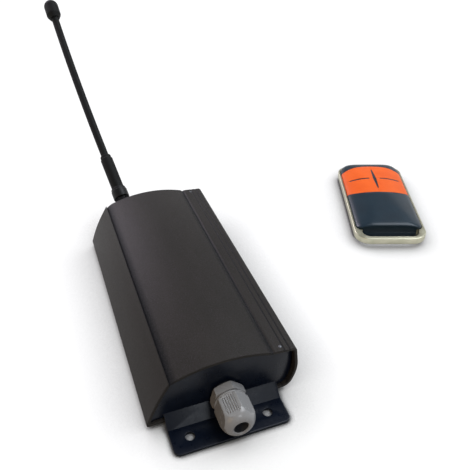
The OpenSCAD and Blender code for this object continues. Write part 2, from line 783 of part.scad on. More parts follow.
module control_chip() {
    pins = 9;
    pin_pitch = chip_size.x / pins;
    color([0.12, 0.12, 0.12]) on_board(chip_share) {
        block([-chip_size.x / 2, -chip_size.y * 0.36, 0],
            [chip_size.x / 2, chip_size.y * 0.36, chip_size.z]);
        for (i = [1 : pins]) translate([pin_pitch * (i - (pins + 1) / 2), 0, 0])
            block([-pin_pitch / 4, -chip_size.y / 2, 0], [pin_pitch / 4, chip_size.y / 2, chip_size.z / 2]);
    }
}
module rf_module() {
    color([0.12, 0.3, 0.36]) on_board(rf_share) {
        block([-rf_size.x / 2, 0, 0], [rf_size.x / 2, rf_size.y, rf_size.z]);
        translate([rf_size.x * 0.05, -can_size.y, rf_size.z * 0.35]) cube(can_size + [0, fit, 0]);
        translate([-rf_size.x * 0.3, fit, rf_size.z * 0.6]) rotate([90, 0, 0])
            cylinder(r = rf_size.z * 0.22, h = can_size.y);
    }
}
module status_led() {
    color([0.8, 0.15, 0.12]) on_board(led_share) {
        cylinder(r = led_r * 1.2, h = led_h * 0.25);
        cylinder(r = led_r, h = led_h);
        translate([0, 0, led_h]) sphere(r = led_r);
    }
}
module learn_switch() {
    color([0.2, 0.2, 0.21]) on_board(learn_share) difference() {
        translate([-learn_size.x / 2, -learn_size.y / 2, 0]) cube(learn_size);
        translate([0, 0, learn_size.z / 2]) cylinder(r = learn_button_r + run_fit, h = learn_size.z);
    }
}
module learn_button() {
    color([0.85, 0.8, 0.7]) on_board(learn_share) translate([0, 0, learn_size.z / 2 + learn_travel + fit])
        cylinder(r = learn_button_r, h = learn_size.z / 2 + learn_button_h);
}
// Thin coaxial lead: back from the connector's pin, round a bend and down to the board
module antenna_lead() {
    lead_y = face_y - cap_t - conn_inner_l - conn_pin_l;
    run_l = lead_y - lead_bend - board_end + rail_grip * 2 + lead_r;
    color([0.5, 0.42, 0.3]) translate([conn_x, lead_y - run_l, 0]) {
        translate([0, 0, conn_z]) y_rod(lead_r, 0, run_l);
        translate([0, 0, conn_z - lead_bend]) rotate([0, -90, 0]) mirror([0, 1, 0])
            rotate_extrude(angle = 90) translate([lead_bend, 0]) circle(r = lead_r);
        translate([0, -lead_bend, board_top]) cylinder(r = lead_r, h = conn_z - lead_bend - board_top);
    }
}

// The transmitter's own frame: x across it, y towards its key end, z up from the surface
module on_fob() {
    translate([fob_x, fob_y, 0]) rotate([0, 0, fob_turn]) children();
}
fob_high = (fob_l + loop_l + bar_w) / 2 - frame_t;
fob_low = fob_high - fob_l;
fob_mid = (fob_high + fob_low) / 2;
parting_z = 5.2;
tray_t = 1.2;
key_drop = key_travel + fit;
stem_w = 5;
stem_x = 0.24 * fob_w;
stem_shift = 0.1 * fob_l;
// Lower and upper end of the key pad, as shares of the length from the middle
pad_shares = [-0.0375, 0.4375];
pad_low = fob_mid + pad_shares[0] * fob_l;
pad_top = fob_mid + pad_shares[1] * fob_l;
pad_mid = (pad_top + pad_low) / 2;
pad_top_bow = 6;
pad_low_bow = 3.2;
side_slit_w = 1.4;
side_slit_share = 0.66;
fob_board_z = 5.2;
fob_board_margin = 2.2;
fob_board_t = 0.8;
fob_switch_size = [4.5, 4.5, 1.4];
fob_stem_h = 0.5;
switch_top = fob_board_z + fob_board_t + fob_switch_size.z + fob_stem_h;
cell_r = 10;
cell_t = 3.2;
cell_y = fob_mid - 0.2225 * fob_l;
floor_t = 1.2;
fob_screw_r = 0.9;
fob_screw_head_r = 1.8;
// Places of the screws, as shares of the width and the length from the middle
fob_screw_shares = [[0, 0.41], [-0.3, -0.425], [0.3, -0.425]];

function fob_outline(d) = rounded(inset(box_corners([-fob_w / 2, fob_low], [fob_w / 2, fob_high],
    fob_low_r, fob_top_r), d));
module at_fob_screws() {
    for (share = fob_screw_shares) translate([share.x * fob_w, fob_mid + share.y * fob_l, 0]) children();
}
// The domed solid of the transmitter, inset by side and lowered by drop
module dome(side, drop, low) {
    intersection() {
        translate([0, 0, low]) linear_extrude(fob_t - low) polygon(fob_outline(side));
        translate([0, 0, fob_t - crown_r]) y_rod(crown_r - drop, -fob_l, fob_l, $fn = 360);
        translate([0, fob_mid, fob_t - long_crown_r])
            x_rod(long_crown_r - drop, -fob_w, fob_w, $fn = 360);
    }
}
// A disc that passes through [0, y] and falls away by bow at the shell's edge, to the low or high side
function bow_radius(bow) = (pow(fob_w / 2, 2) + bow * bow) / (2 * bow);
module key_pad_space(d) {
    top_r = bow_radius(pad_top_bow);
    low_r = bow_radius(pad_low_bow);
    intersection() {
        translate([0, pad_top - top_r, 0]) cylinder(r = top_r + d, h = fob_t + overrun, $fn = 128);
        translate([0, pad_low + low_r, 0]) cylinder(r = low_r + d, h = fob_t + overrun, $fn = 128);
    }
}
// The slits: one tapered along the middle and one straight on each side
module slits() {
    linear_extrude(fob_t + overrun) {
        polygon([[0, pad_mid - slit_l / 2], [slit_w / 2, pad_mid], [0, pad_mid + slit_l / 2],
            [-slit_w / 2, pad_mid]]);
        for (side = [-1, 1]) translate([side * fob_w / 4, pad_mid])
            square([side_slit_share * fob_w / 2, side_slit_w], center = true);
    }
}
// One quarter of the key pad, with the stem that presses its switch
module key(side, end) {
    on_fob() {
        difference() {
            intersection() {
                key_pad_space(-key_gap);
                dome(fit, 0, parting_z);
                block([side > 0 ? key_gap / 2 : -fob_w, end > 0 ? pad_mid + key_gap / 2 : -fob_l, 0],
                    [side > 0 ? fob_w : -key_gap / 2, end > 0 ? fob_l : pad_mid - key_gap / 2, fob_t]);
            }
            dome(-overrun, key_t - key_drop, -overrun);
            slits();
        }
        intersection() {
            at_stem(side, end) block([-stem_w / 2, -stem_w / 2, switch_top + key_travel + fit],
                [stem_w / 2, stem_w / 2, fob_t]);
            dome(fit, key_t / 3, 0);
        }
    }
}
module at_stem(side, end) {
    translate([side * stem_x, pad_mid + end * stem_shift, 0]) children();
}
module key_upper_left() {
    color([0.98, 0.42, 0.14]) key(-1, 1);
}
module key_upper_right() {
    color([0.98, 0.42, 0.14]) key(1, 1);
}
module key_lower_left() {
    color([0.98, 0.42, 0.14]) key(-1, -1);
}
module key_lower_right() {
    color([0.98, 0.42, 0.14]) key(1, -1);
}
module transmitter_top() {
    color([0.07, 0.15, 0.21]) on_fob() difference() {
        dome(0, 0, parting_z);
        difference() {
            key_pad_space(0);
            dome(-overrun, key_t, -overrun);
        }
        dome(fob_wall, key_t + tray_t, parting_z - overrun);
        for (side = [-1, 1], end = [-1, 1]) at_stem(side, end)
            block([-stem_w / 2 - gap, -stem_w / 2 - gap, parting_z],
                [stem_w / 2 + gap, stem_w / 2 + gap, fob_t]);
    }
}
module transmitter_back() {
    foot_edge = 1.2;
    color([0.07, 0.13, 0.18]) on_fob() difference() {
        union() {
            linear_extrude(foot_edge + fit) polygon(fob_outline(foot_edge));
            translate([0, 0, foot_edge]) linear_extrude(parting_z - foot_edge - run_fit)
                polygon(fob_outline(0));
        }
        difference() {
            translate([0, 0, floor_t]) linear_extrude(parting_z) polygon(fob_outline(fob_wall));
            at_fob_screws() cylinder(r = fob_screw_head_r + gap, h = fob_board_z - fit);
        }
        at_fob_screws() translate([0, 0, -overrun]) {
            cylinder(r = fob_screw_r + run_fit, h = parting_z + 2 * overrun);
            cylinder(r = fob_screw_head_r + run_fit, h = overrun + floor_t);
        }
    }
}
module transmitter_screws() {
    color([0.7, 0.71, 0.73]) on_fob() at_fob_screws() translate([0, 0, fit]) difference() {
        union() {
            cylinder(r = fob_screw_head_r, h = floor_t - 2 * fit);
            cylinder(r = fob_screw_r, h = fob_board_z - floor_t);
        }
        for (turn = [0, 90]) rotate([0, 0, turn]) block([-fob_screw_r, -fob_screw_r / 4, -overrun],
            [fob_screw_r, fob_screw_r / 4, floor_t / 2]);
    }
}
module loop_frame() {
    frame_low = fob_low - loop_l - bar_w;
    side_x = fob_w / 2 + fit + frame_t;
    color([0.75, 0.74, 0.66]) on_fob() translate([0, 0, frame_z]) difference() {
        linear_extrude(frame_h) polygon(rounded(box_corners([-side_x, frame_low],
            [side_x, fob_high + fit + frame_t], loop_r, fob_top_r + fit + frame_t)));
        translate([0, 0, -overrun]) linear_extrude(frame_h + 2 * overrun) {
            polygon(fob_outline(-fit));
            polygon(rounded(box_corners([-side_x + bar_w + frame_t, frame_low + bar_w],
                [side_x - bar_w - frame_t, fob_low], loop_r - bar_w - frame_t, 0)));
        }
    }
}
module transmitter_board() {
    roof_r = crown_r - key_t - tray_t;
    reach = sqrt(pow(roof_r, 2) - pow(fob_board_z + fob_board_t + gap - fob_t + crown_r, 2));
    color([0.1, 0.34, 0.2]) on_fob() translate([0, 0, fob_board_z]) difference() {
        linear_extrude(fob_board_t) intersection() {
            polygon(fob_outline(fob_wall + fob_board_margin));
            translate([-reach, -fob_l]) square([2 * reach, 2 * fob_l]);
        }
        at_fob_screws() translate([0, 0, -overrun])
            cylinder(r = fob_screw_r + fit, h = fob_board_t + 2 * overrun);
    }
}
module key_switches() {
    color([0.2, 0.2, 0.21]) on_fob() for (side = [-1, 1], end = [-1, 1])
        at_stem(side, end) translate([0, 0, fob_board_z + fob_board_t]) {
            translate([-fob_switch_size.x / 2, -fob_switch_size.y / 2, 0]) cube(fob_switch_size);
            cylinder(r = fob_switch_size.x / 4, h = fob_switch_size.z + fob_stem_h);
        }
}
module coin_cell() {
    rim = 0.8;
    color([0.78, 0.79, 0.8]) on_fob() translate([0, cell_y, floor_t + fit]) {
        cylinder(r = cell_r - rim, h = cell_t / 2);
        translate([0, 0, rim / 2]) cylinder(r = cell_r, h = cell_t - rim / 2);
    }
}
module battery_clip() {
    clip_w = 6;
    clip_t = 0.35;
    clip_x = cell_r + 2 * gap;
    color([0.8, 0.78, 0.7]) on_fob() translate([0, cell_y, 0]) for (side = [-1, 1])
        translate([side * (clip_x + clip_t / 2), 0, 0])
            block([-clip_t / 2, -clip_w / 2, floor_t], [clip_t / 2, clip_w / 2, fob_board_z - run_fit]);
}

housing_shell();
front_end_cap();
rear_end_cap();
front_cap_seal();
rear_cap_seal();
floor_screws();
cap_lock_pins();
gland_body();
gland_washer();
gland_clamp();
gland_seal();
gland_dome_nut();
antenna_connector();
connector_washer();
connector_nut();
antenna_coupling();
antenna_swivel();
knuckle_pin();
antenna_collar();
antenna_sleeve();
antenna_whip();
antenna_tip();
antenna_lead();
receiver_board();
terminal_block();
terminal_screws();
relays();
transformer();
capacitors();
fuse_clips();
fuse();
control_chip();
rf_module();
status_led();
learn_switch();
learn_button();
loop_frame();
transmitter_top();
transmitter_back();
key_upper_left();
key_upper_right();
key_lower_left();
key_lower_right();
transmitter_board();
key_switches();
coin_cell();
battery_clip();
transmitter_screws();
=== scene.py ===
"""Looks of the crane radio remote control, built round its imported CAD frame.
Lengths are in millimetres until a piece is made, which turns them into metres."""
import json
import math

import bmesh
import bpy
from mathutils import Matrix, Vector
from mathutils.geometry import tessellate_polygon

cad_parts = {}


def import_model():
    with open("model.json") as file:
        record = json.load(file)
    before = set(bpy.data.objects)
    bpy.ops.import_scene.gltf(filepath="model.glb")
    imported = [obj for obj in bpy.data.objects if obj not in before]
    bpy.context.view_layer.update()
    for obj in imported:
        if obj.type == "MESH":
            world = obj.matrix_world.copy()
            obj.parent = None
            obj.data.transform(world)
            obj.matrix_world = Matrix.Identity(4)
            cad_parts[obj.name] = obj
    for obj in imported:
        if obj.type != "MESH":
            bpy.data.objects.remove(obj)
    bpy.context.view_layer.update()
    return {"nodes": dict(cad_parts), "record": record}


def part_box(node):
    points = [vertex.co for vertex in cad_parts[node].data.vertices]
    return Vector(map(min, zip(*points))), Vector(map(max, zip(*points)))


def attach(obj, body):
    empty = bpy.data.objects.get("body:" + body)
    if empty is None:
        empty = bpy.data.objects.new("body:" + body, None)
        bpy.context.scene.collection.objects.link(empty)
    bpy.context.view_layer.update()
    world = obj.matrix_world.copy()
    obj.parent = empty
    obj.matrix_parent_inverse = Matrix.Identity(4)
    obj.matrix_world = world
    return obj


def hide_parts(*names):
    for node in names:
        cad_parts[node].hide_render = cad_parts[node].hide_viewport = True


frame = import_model()
MM = 0.001


def node_box(node):
    """Lowest and highest corner of a CAD node, in millimetres."""
    low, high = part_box(node)
    return low / MM, high / MM


# Housing
BODY_W = 75
BODY_H = 30.6
FLOOR_Z = 2.6
WALL_T = 1.5
END_Y = node_box("housing_shell")[1].y
SECTION = [(-0.492, 0, 0.12), (0.456, 0, 0.34), (0.5205, 0.325, 0.62), (0.4975, 0.834, 0.145),
           (0.332, 0.8675, 0), (0.035, 1.11, 0.95), (-0.328, 0.8245, 0.028), (-0.436, 0.4, 0.8)]
COVE_X = -0.3225 * BODY_W
VALLEY_X = 0.332 * BODY_W
GROOVES_X = [0.413 * BODY_W, 0.449 * BODY_W]
# Dips in the top: x, reach to the left and to the right, depth
DIPS = [(COVE_X, 0.3, 4.0, 1.25), (VALLEY_X, 1.3, 1.6, 0.55)] + [(x, 0.5, 0.5, 0.24) for x in GROOVES_X]
# Painted shade along them, a darker colour in bands over the cove, the valley and the grooves: x, and from
# there where it starts, where it begins to fade and where it ends
PAINTED_SHADE_BANDS = [(COVE_X, -0.5, 1.4, 4.2), (VALLEY_X, -2.6, 0.2, 1)] + [(x, -0.6, 0, 0.6) for x in GROOVES_X]
COVE_POWER = 1.7
TOP_SHARE = 0.6
DIP_STEP = 0.3
SHELL_EDGE = 0.22
LOCK_X = 0.397 * BODY_W
LOCK_IN = 3
ARC_STEPS = 14
ARC_STEP = 0.5
# End caps and feet
CAP_RECESS = 1.2
FACE_Y = END_Y - CAP_RECESS
CAP_L = 10
CAP_INSET = 1.7
CAP_EDGE = 0.7
BEND_X = 26
BEND = 0.016
FOOT_W = 56
FOOT_T = 1.5
FOOT_OUT = 18
FOOT_R = 3
FOOT_GAP = 0.3
HOLE_PITCH = 38
HOLE_OUT = 10.2
HOLE_R = 2.25
WEB_H = 7.2
WEB_OUT = 4.4
WEB_ROOT = 1.5
WEB_LOW = 4.3
FOOT_EDGE = 0.25
POCKET_GAP = 0.3
POCKET_L = 12
# Gland
GLAND_X = 2
GLAND_Z = 10.9
GLAND_TURN = 16.5
HEX_FLAT = 7.5
HEX_R = 2 * HEX_FLAT / math.sqrt(3)
HEX_CHAMFER = 0.9
HEX_STEPS = 6
WASHER_T = 1.4
WASHER_R = 6.6
HEX_Z = 5.8
NUT_R = 8.5
NUT_Z = 6.1
NUT_END = 21.9
NUT_FLAT = 7.45
NUT_NECK = 0.5
RIB_PITCH = 1.1
RIB_DEPTH = 0.4
FACETS_Z = 7.5
DOME_L = 6.4
DOME_STEPS = 16
MOUTH_R = 3.5
SEAL_BORE_R = 3.25
# Antenna
CONN_X = -11.9
CONN_Z = 20.8
PIVOT_OUT = 9
COUPLING_TOP = 4.4
CONN_FLAT = 3.81
KNURLS = 32
KNURL_DEPTH = 0.12
FORK_R = 4.4
CHEEK_R = 4.2
CHEEK_END = 4
SLOT_W = 4.4
PIN_R = 1.2
PIN_L = 8.6
PIN_BORE_R = 1.25
TONGUE_R = 3.8
TONGUE_T = 4.2
WHIP_LEAN = 12
WHIP_TILT = 31
WHIP_L = 177.9
WHIP_R = 2.55
SLEEVE_R = 4
SLEEVE_TOP = 38.2
NECK_STEP = 0.45
COLLAR_R = 5.15
COLLAR_LOW = 4.7
COLLAR_L = 7.6
COLLAR_STEP = 0.35
TIP_R = 5.1
TIP_L = 16.5
BOW_R = 2400
WHIP_STEPS = 60
# Hand transmitter
FOB_X = 160
FOB_Y = 50
FOB_TURN = -20
FOB_W = 43
FOB_L = 80
FOB_T = 13
FOB_HIGH = 43.8
FOB_LOW = FOB_HIGH - FOB_L
FOB_MID = (FOB_HIGH + FOB_LOW) / 2
FOB_TOP_R = 7
FOB_LOW_R = 4
CROWN_R = 52
LONG_CROWN_R = 380
ROUND_W = 3.2
ROUND_H = 0.85
PARTING_Z = 5.2
FRAME_Z = 3
FRAME_H = 4.4
FRAME_T = 1.6
FRAME_GAP = 0.1
BAR_W = 3.4
LOOP_L = 7.4
LOOP_R = 10
LOOP_INNER_R = 5
KEY_T = 1.8
PAD_LOW = FOB_MID - 0.0375 * FOB_L
PAD_TOP = FOB_MID + 0.4375 * FOB_L
PAD_MID = (PAD_LOW + PAD_TOP) / 2
PAD_TOP_BOW = 6
PAD_LOW_BOW = 3.2
SLIT_W = 2.4
SLIT_L = 27
SLIT_END_W = 0.9
SIDE_SLIT_W = 1.4
SIDE_SLIT_SHARE = 0.66
RIB_GAP = 0.1
RIB_DROP = 0.12
PAD_LINE = 0.02
PAD_GAP = 0.06


# Outlines: lists of 2-D points, anticlockwise for a solid and clockwise for a hole in it
def cross(a, b):
    return a.x * b.y - a.y * b.x


def rounded(corners, steps=ARC_STEPS, longest=math.inf):
    """Outline of (x, y, radius) corners, each rounded with an arc of at least that many steps, none
    longer than longest."""
    points = [Vector(c[:2]) for c in corners]
    outline = []
    for i, corner in enumerate(corners):
        here, last, after = points[i], points[i - 1], points[(i + 1) % len(points)]
        radius = corner[2]
        if not radius:
            outline.append(here)
            continue
        to_last, to_after = (last - here).normalized(), (after - here).normalized()
        half = to_last.angle(to_after) / 2
        centre = here + (to_last + to_after).normalized() * radius / math.sin(half)
        first = here + to_last * radius / math.tan(half) - centre
        final = here + to_after * radius / math.tan(half) - centre
        start = math.atan2(first.y, first.x)
        sweep = math.atan2(cross(first, final), first.dot(final))
        count = max(steps, math.ceil(abs(sweep) * radius / longest))
        for k in range(count + 1):
            angle = start + sweep * k / count
            outline.append(centre + radius * Vector((math.cos(angle), math.sin(angle))))
    return outline


def shifted(outline, distance):
    """Outline moved to its left: inwards for a solid, and into the material for a hole."""
    moved = []
    for i, here in enumerate(outline):
        before = (here - outline[i - 1]).normalized()
        after = (outline[(i + 1) % len(outline)] - here).normalized()
        side = Vector((-before.y, before.x))
        normal = (side + Vector((-after.y, after.x))).normalized()
        moved.append(here + normal * distance / max(normal.dot(side), 0.3))
    return moved


def rectangle(low, high, low_r=0, high_r=0):
    return rounded([(low[0], low[1], low_r), (high[0], low[1], low_r),
                    (high[0], high[1], high_r), (low[0], high[1], high_r)])


def circle(x, y, radius, steps=48):
    angles = (math.tau * k / steps for k in range(steps))
    return [Vector((x + radius * math.cos(a), y + radius * math.sin(a))) for a in angles]


def hole(outline):
    return outline[::-1]


def finely(outline, step):
    """Outline with no stretch longer than step."""
    points = []
    for i, here in enumerate(outline):
        after = outline[(i + 1) % len(outline)]
        count = max(1, math.ceil((after - here).length / step))
        points += [here.lerp(after, k / count) for k in range(count)]
    return points


# Solids
def plate(outlines, low, high, edge=0.0, steps=3):
    """Closed solid from z = low to high with rounded edges; the first outline is its outside."""
    mesh = bmesh.new()
    levels = [(low, 0), (high, 0)]
    if edge:
        rise = [(edge * (1 - math.cos(a)), edge * (1 - math.sin(a)))
                for a in (math.pi / 2 * k / steps for k in range(steps + 1))]
        levels = [(low + z, d) for z, d in rise] + [(high - z, d) for z, d in reversed(rise)]
    bottom, top = [], []
    for outline in outlines:
        rings = [[mesh.verts.new((p.x, p.y, z)) for p in shifted(outline, d)] for z, d in levels]
        bridge(mesh, rings)
        bottom.append(rings[0])
        top.append(rings[-1])
    for rings in (bottom, top):
        if len(rings) == 1:
            mesh.faces.new(rings[0])
            continue
        verts = [v for ring in rings for v in ring]
        for triangle in tessellate_polygon([[v.co for v in ring] for ring in rings]):
            mesh.faces.new([verts[i] for i in triangle])
    return mesh


def bridge(mesh, rings):
    """Walls between rings of equal length."""
    for low, high in zip(rings, rings[1:]):
        for i in range(len(low)):
            mesh.faces.new((low[i - 1], low[i], high[i], high[i - 1]))


def turned(profile, around=64, radius=None):
    """Solid turned about Z from a closed profile of (r, z) points. radius(angle, r, z) may change r."""
    mesh = bmesh.new()
    rings = []
    for r, z in profile:
        if r < 1e-6:
            rings.append([mesh.verts.new((0, 0, z))])
            continue
        ring = []
        for k in range(around):
            angle = math.tau * k / around
            here = radius(angle, r, z) if radius else r
            ring.append(mesh.verts.new((here * math.cos(angle), here * math.sin(angle), z)))
        rings.append(ring)
    for i, low in enumerate(rings):
        high = rings[(i + 1) % len(rings)]
        if len(low) == 1 and len(high) == 1:
            continue
        for k in range(around):
            corners = [low[(k - 1) % len(low)], low[k % len(low)],
                       high[k % len(high)], high[(k - 1) % len(high)]]
            mesh.faces.new(list(dict.fromkeys(corners)))
    return mesh


def lathed(corners, steps, around=64, radius=None, longest=math.inf):
    """Solid turned about Z from (r, z, radius) corners, with no stretch longer than longest."""
    outline = finely(rounded(corners, steps), longest)
    return turned([(p.x, p.y) for p in outline], around, radius)


def moved(mesh, matrix):
    mesh.transform(matrix)
    return mesh


def joined(*meshes):
    """One bmesh of several."""
    first = meshes[0]
    for other in meshes[1:]:
        part = bpy.data.meshes.new("part")
        other.to_mesh(part)
        other.free()
        first.from_mesh(part)
        bpy.data.meshes.remove(part)
    return first


def placed(name, data):
    """New object of that data, linked to the scene."""
    made = bpy.data.objects.new(name, data)
    bpy.context.scene.collection.objects.link(made)
    return made


def combined(mesh, other, operation):
    """Exact boolean of two closed solids: UNION, DIFFERENCE or INTERSECT."""
    objects = []
    for part in (mesh, other):
        bmesh.ops.recalc_face_normals(part, faces=part.faces)
        data = bpy.data.meshes.new("part")
        part.to_mesh(data)
        part.free()
        objects.append(placed("part", data))
    modifier = objects[0].modifiers.new("boolean", "BOOLEAN")
    modifier.operation = operation
    modifier.solver = "EXACT"
    modifier.object = objects[1]
    result = bmesh.new()
    result.from_object(objects[0], bpy.context.evaluated_depsgraph_get())
    bmesh.ops.remove_doubles(result, verts=result.verts, dist=1e-4)
    for item in objects:
        data = item.data
        bpy.data.objects.remove(item)
        bpy.data.meshes.remove(data)
    return result


def sliced(mesh, xs, ys):
    """The solid cut into cells along the planes x = ... and y = ..., so that it can be bent."""
    for axis, places in (((1, 0, 0), xs), ((0, 1, 0), ys)):
        for place in places:
            bmesh.ops.bisect_plane(mesh, geom=mesh.verts[:] + mesh.edges[:] + mesh.faces[:],
                                   plane_co=Vector(axis) * place, plane_no=axis, dist=1e-4)
    return mesh


def turn(degrees, axis):
    return Matrix.Rotation(math.radians(degrees), 4, axis)


def shift(x, y, z):
    return Matrix.Translation((x, y, z))


# Local frames: z of a turned solid runs along Y or X, out of the front cap or along the antenna.
# SIDEWAYS stands a plate up, with its thickness along X.
ALONG_Y = turn(-90, "X")
ALONG_X = turn(90, "Y")
SIDEWAYS = Matrix(((0, 0, 1, 0), (0, 1, 0, 0), (1, 0, 0, 0), (0, 0, 0, 1)))
ON_GLAND = shift(GLAND_X, -FACE_Y, GLAND_Z) @ turn(90, "X")
ON_CONNECTOR = shift(CONN_X, FACE_Y, CONN_Z) @ ALONG_Y
ON_SWIVEL = shift(CONN_X, END_Y + PIVOT_OUT, CONN_Z) @ turn(-WHIP_LEAN, "Y")
ON_WHIP = ON_SWIVEL @ turn(WHIP_TILT, "X")
ON_FOB = shift(FOB_X, FOB_Y, 0) @ turn(FOB_TURN, "Z")
MIRROR_Y = Matrix.Scale(-1, 4, (0, 1, 0))


# Materials
def srgb(red, green, blue):
    """Linear colour of an 8-bit sRGB one."""
    def linear(value):
        value /= 255
        return value / 12.92 if value <= 0.04045 else ((value + 0.055) / 1.055) ** 2.4
    return (linear(red), linear(green), linear(blue), 1)


class Surface:
    """A Principled material with procedural nodes that feed it."""

    def __init__(self, name, **settings):
        self.material = bpy.data.materials.new(name)
        self.material.use_nodes = True
        self.tree = self.material.node_tree
        self.shader = self.tree.nodes["Principled BSDF"]
        self.place = self.tree.nodes.new("ShaderNodeTexCoord").outputs["Object"]
        self.normal = None
        for key, value in settings.items():
            self.shader.inputs[key.replace("_", " ").title().replace("Ior", "IOR")].default_value = value

    def link(self, output, target):
        self.tree.links.new(output, target)

    def texture(self, kind, scale):
        """Texture node of that kind on the object's coordinates times scale."""
        mapping = self.tree.nodes.new("ShaderNodeMapping")
        mapping.inputs["Scale"].default_value = scale
        node = self.tree.nodes.new(kind)
        node.inputs["Scale"].default_value = 1
        self.link(self.place, mapping.inputs["Vector"])
        self.link(mapping.outputs["Vector"], node.inputs["Vector"])
        return node

    def noise(self, size, detail=3.0, roughness=0.55, stretch=(1, 1, 1)):
        """Noise from 0 to 1 with features of that size in millimetres, longer along a stretched axis."""
        node = self.texture("ShaderNodeTexNoise", [1 / (size * MM * s) for s in stretch])
        node.inputs["Detail"].default_value = detail
        node.inputs["Roughness"].default_value = roughness
        return node.outputs["Fac"]

    def cells(self, size):
        """Distance to the middle of the nearest cell of that size in millimetres."""
        return self.texture("ShaderNodeTexVoronoi", [1 / (size * MM)] * 3).outputs["Distance"]

    def axis(self, name):
        """Coordinate of the surface along X, Y or Z, in metres."""
        node = self.tree.nodes.new("ShaderNodeSeparateXYZ")
        self.link(self.place, node.inputs[0])
        return node.outputs[name]

    def both(self, first, second):
        """Product of two values."""
        node = self.tree.nodes.new("ShaderNodeMath")
        node.operation = "MULTIPLY"
        self.link(first, node.inputs[0])
        self.link(second, node.inputs[1])
        return node.outputs[0]

    def span(self, value, low, high, start=0.3, end=0.7):
        """Value that runs from start to end, spread over low to high."""
        node = self.tree.nodes.new("ShaderNodeMapRange")
        for key, number in (("From Min", start), ("From Max", end), ("To Min", low), ("To Max", high)):
            node.inputs[key].default_value = number
        self.link(value, node.inputs["Value"])
        return node.outputs["Result"]

    def mix(self, factor, first, second):
        """Colour between two; each is a colour or an output."""
        node = self.tree.nodes.new("ShaderNodeMix")
        node.data_type = "RGBA"
        self.link(factor, node.inputs["Factor"])
        for value, target in ((first, node.inputs["A"]), (second, node.inputs["B"])):
            if isinstance(value, tuple):
                target.default_value = value
            else:
                self.link(value, target)
        return node.outputs["Result"]

    def colour(self, factor, first, second, start=0.3, end=0.7):
        """Colours the surface between two, as factor runs from start to end."""
        result = self.mix(self.span(factor, 0, 1, start, end), first, second)
        self.link(result, self.shader.inputs["Base Color"])

    def rough(self, factor, low, high):
        self.link(self.span(factor, low, high), self.shader.inputs["Roughness"])

    def bump(self, height, depth):
        """Bump of that depth in millimetres."""
        node = self.tree.nodes.new("ShaderNodeBump")
        node.inputs["Strength"].default_value = 1
        node.inputs["Distance"].default_value = depth * MM
        self.link(height, node.inputs["Height"])
        if self.normal:
            self.link(self.normal, node.inputs["Normal"])
        self.normal = node.outputs["Normal"]
        self.link(self.normal, self.shader.inputs["Normal"])


def powder_coat():
    """Charcoal powder coat with its fine grain over the faint die lines of the extrusion, with painted
    shade:
    its colour darkens in soft bands along the cove, the valley and the grooves."""
    paint = Surface("housing_powder", specular_ior_level=0.1)
    grain = paint.noise(0.8, detail=2)
    speck = paint.noise(0.25, detail=1)
    cloud = paint.noise(16, detail=3, stretch=(1, 3, 1))
    base = paint.mix(paint.span(cloud, 0, 1), srgb(42, 41, 37), srgb(48, 46, 42))
    across = paint.axis("X")
    # Painted shade: the colour turns dark grey-green in soft bands along the cove, the valley and the
    # grooves
    for x, start, dark_to, end in PAINTED_SHADE_BANDS:
        rise = paint.span(across, 0, 1, (x + start) * MM, x * MM)
        fall = paint.span(across, 1, 0, (x + dark_to) * MM, (x + end) * MM)
        base = paint.mix(paint.both(rise, fall), base, srgb(20, 24, 24))
    paint.colour(speck, base, srgb(66, 60, 66), 0.5, 0.75)
    paint.rough(grain, 0.44, 0.54)
    paint.bump(paint.noise(0.5, stretch=(1, 60, 1)), 0.004)
    paint.bump(grain, 0.04)
    paint.bump(speck, 0.016)
    return paint.material


def moulded(name, dark, light, roughness, grain=0.8, depth=0.012, **settings):
    """Moulded plastic with a fine spark-eroded texture and slight flow marks."""
    plastic = Surface(name, **settings)
    flow = plastic.noise(9, detail=4, stretch=(1, 1, 2))
    fine = plastic.noise(grain, detail=2)
    plastic.colour(flow, dark, light)
    plastic.rough(plastic.noise(3, detail=3), roughness - 0.04, roughness + 0.06)
    plastic.bump(fine, depth)
    return plastic.material


def rubber(name, dark, light, roughness=0.62):
    """Rubber with a dusty bloom and shallow pores."""
    paint = Surface(name, specular_ior_level=0.2)
    bloom = paint.noise(5, detail=5, roughness=0.65)
    paint.colour(bloom, dark, light, 0.35, 0.75)
    paint.rough(bloom, roughness - 0.08, roughness + 0.1)
    paint.bump(paint.noise(0.4, detail=2), 0.01)
    return paint.material


def metal(name, dark, light, roughness, stretch=(1, 1, 30)):
    """Metal with fine drawn lines and a cloudy sheen."""
    paint = Surface(name, metallic=1.0)
    lines = paint.noise(0.25, detail=2, stretch=stretch)
    cloud = paint.noise(6, detail=3)
    paint.colour(cloud, dark, light)
    paint.rough(lines, roughness - 0.05, roughness + 0.08)
    paint.bump(lines, 0.003)
    return paint.material


def circuit_board():
    """Green lacquer with lighter traces and tinned pads."""
    paint = Surface("board_green", roughness=0.35, coat_weight=0.4, coat_roughness=0.15)
    bricks = paint.texture("ShaderNodeTexBrick", [1 / (9 * MM)] * 3)
    bricks.inputs["Mortar Size"].default_value = 0.05
    bricks.inputs["Color1"].default_value = srgb(22, 82, 50)
    bricks.inputs["Color2"].default_value = srgb(26, 90, 55)
    bricks.inputs["Mortar"].default_value = srgb(46, 122, 78)
    paint.colour(paint.cells(2.5), srgb(186, 188, 184), bricks.outputs["Color"], 0.12, 0.15)
    paint.bump(bricks.outputs["Fac"], 0.02)
    return paint.material


def fob_gloss():
    """Dark navy gloss shell under a clear lacquer with hairline scuffs."""
    paint = Surface("fob_gloss", coat_weight=0.15, coat_roughness=0.12, specular_ior_level=0.25)
    paint.colour(paint.noise(14, detail=3), srgb(15, 36, 49), srgb(19, 43, 57))
    paint.rough(paint.noise(0.5, detail=2, stretch=(1, 12, 1)), 0.3, 0.42)
    paint.bump(paint.noise(7, detail=1), 0.02)
    return paint.material


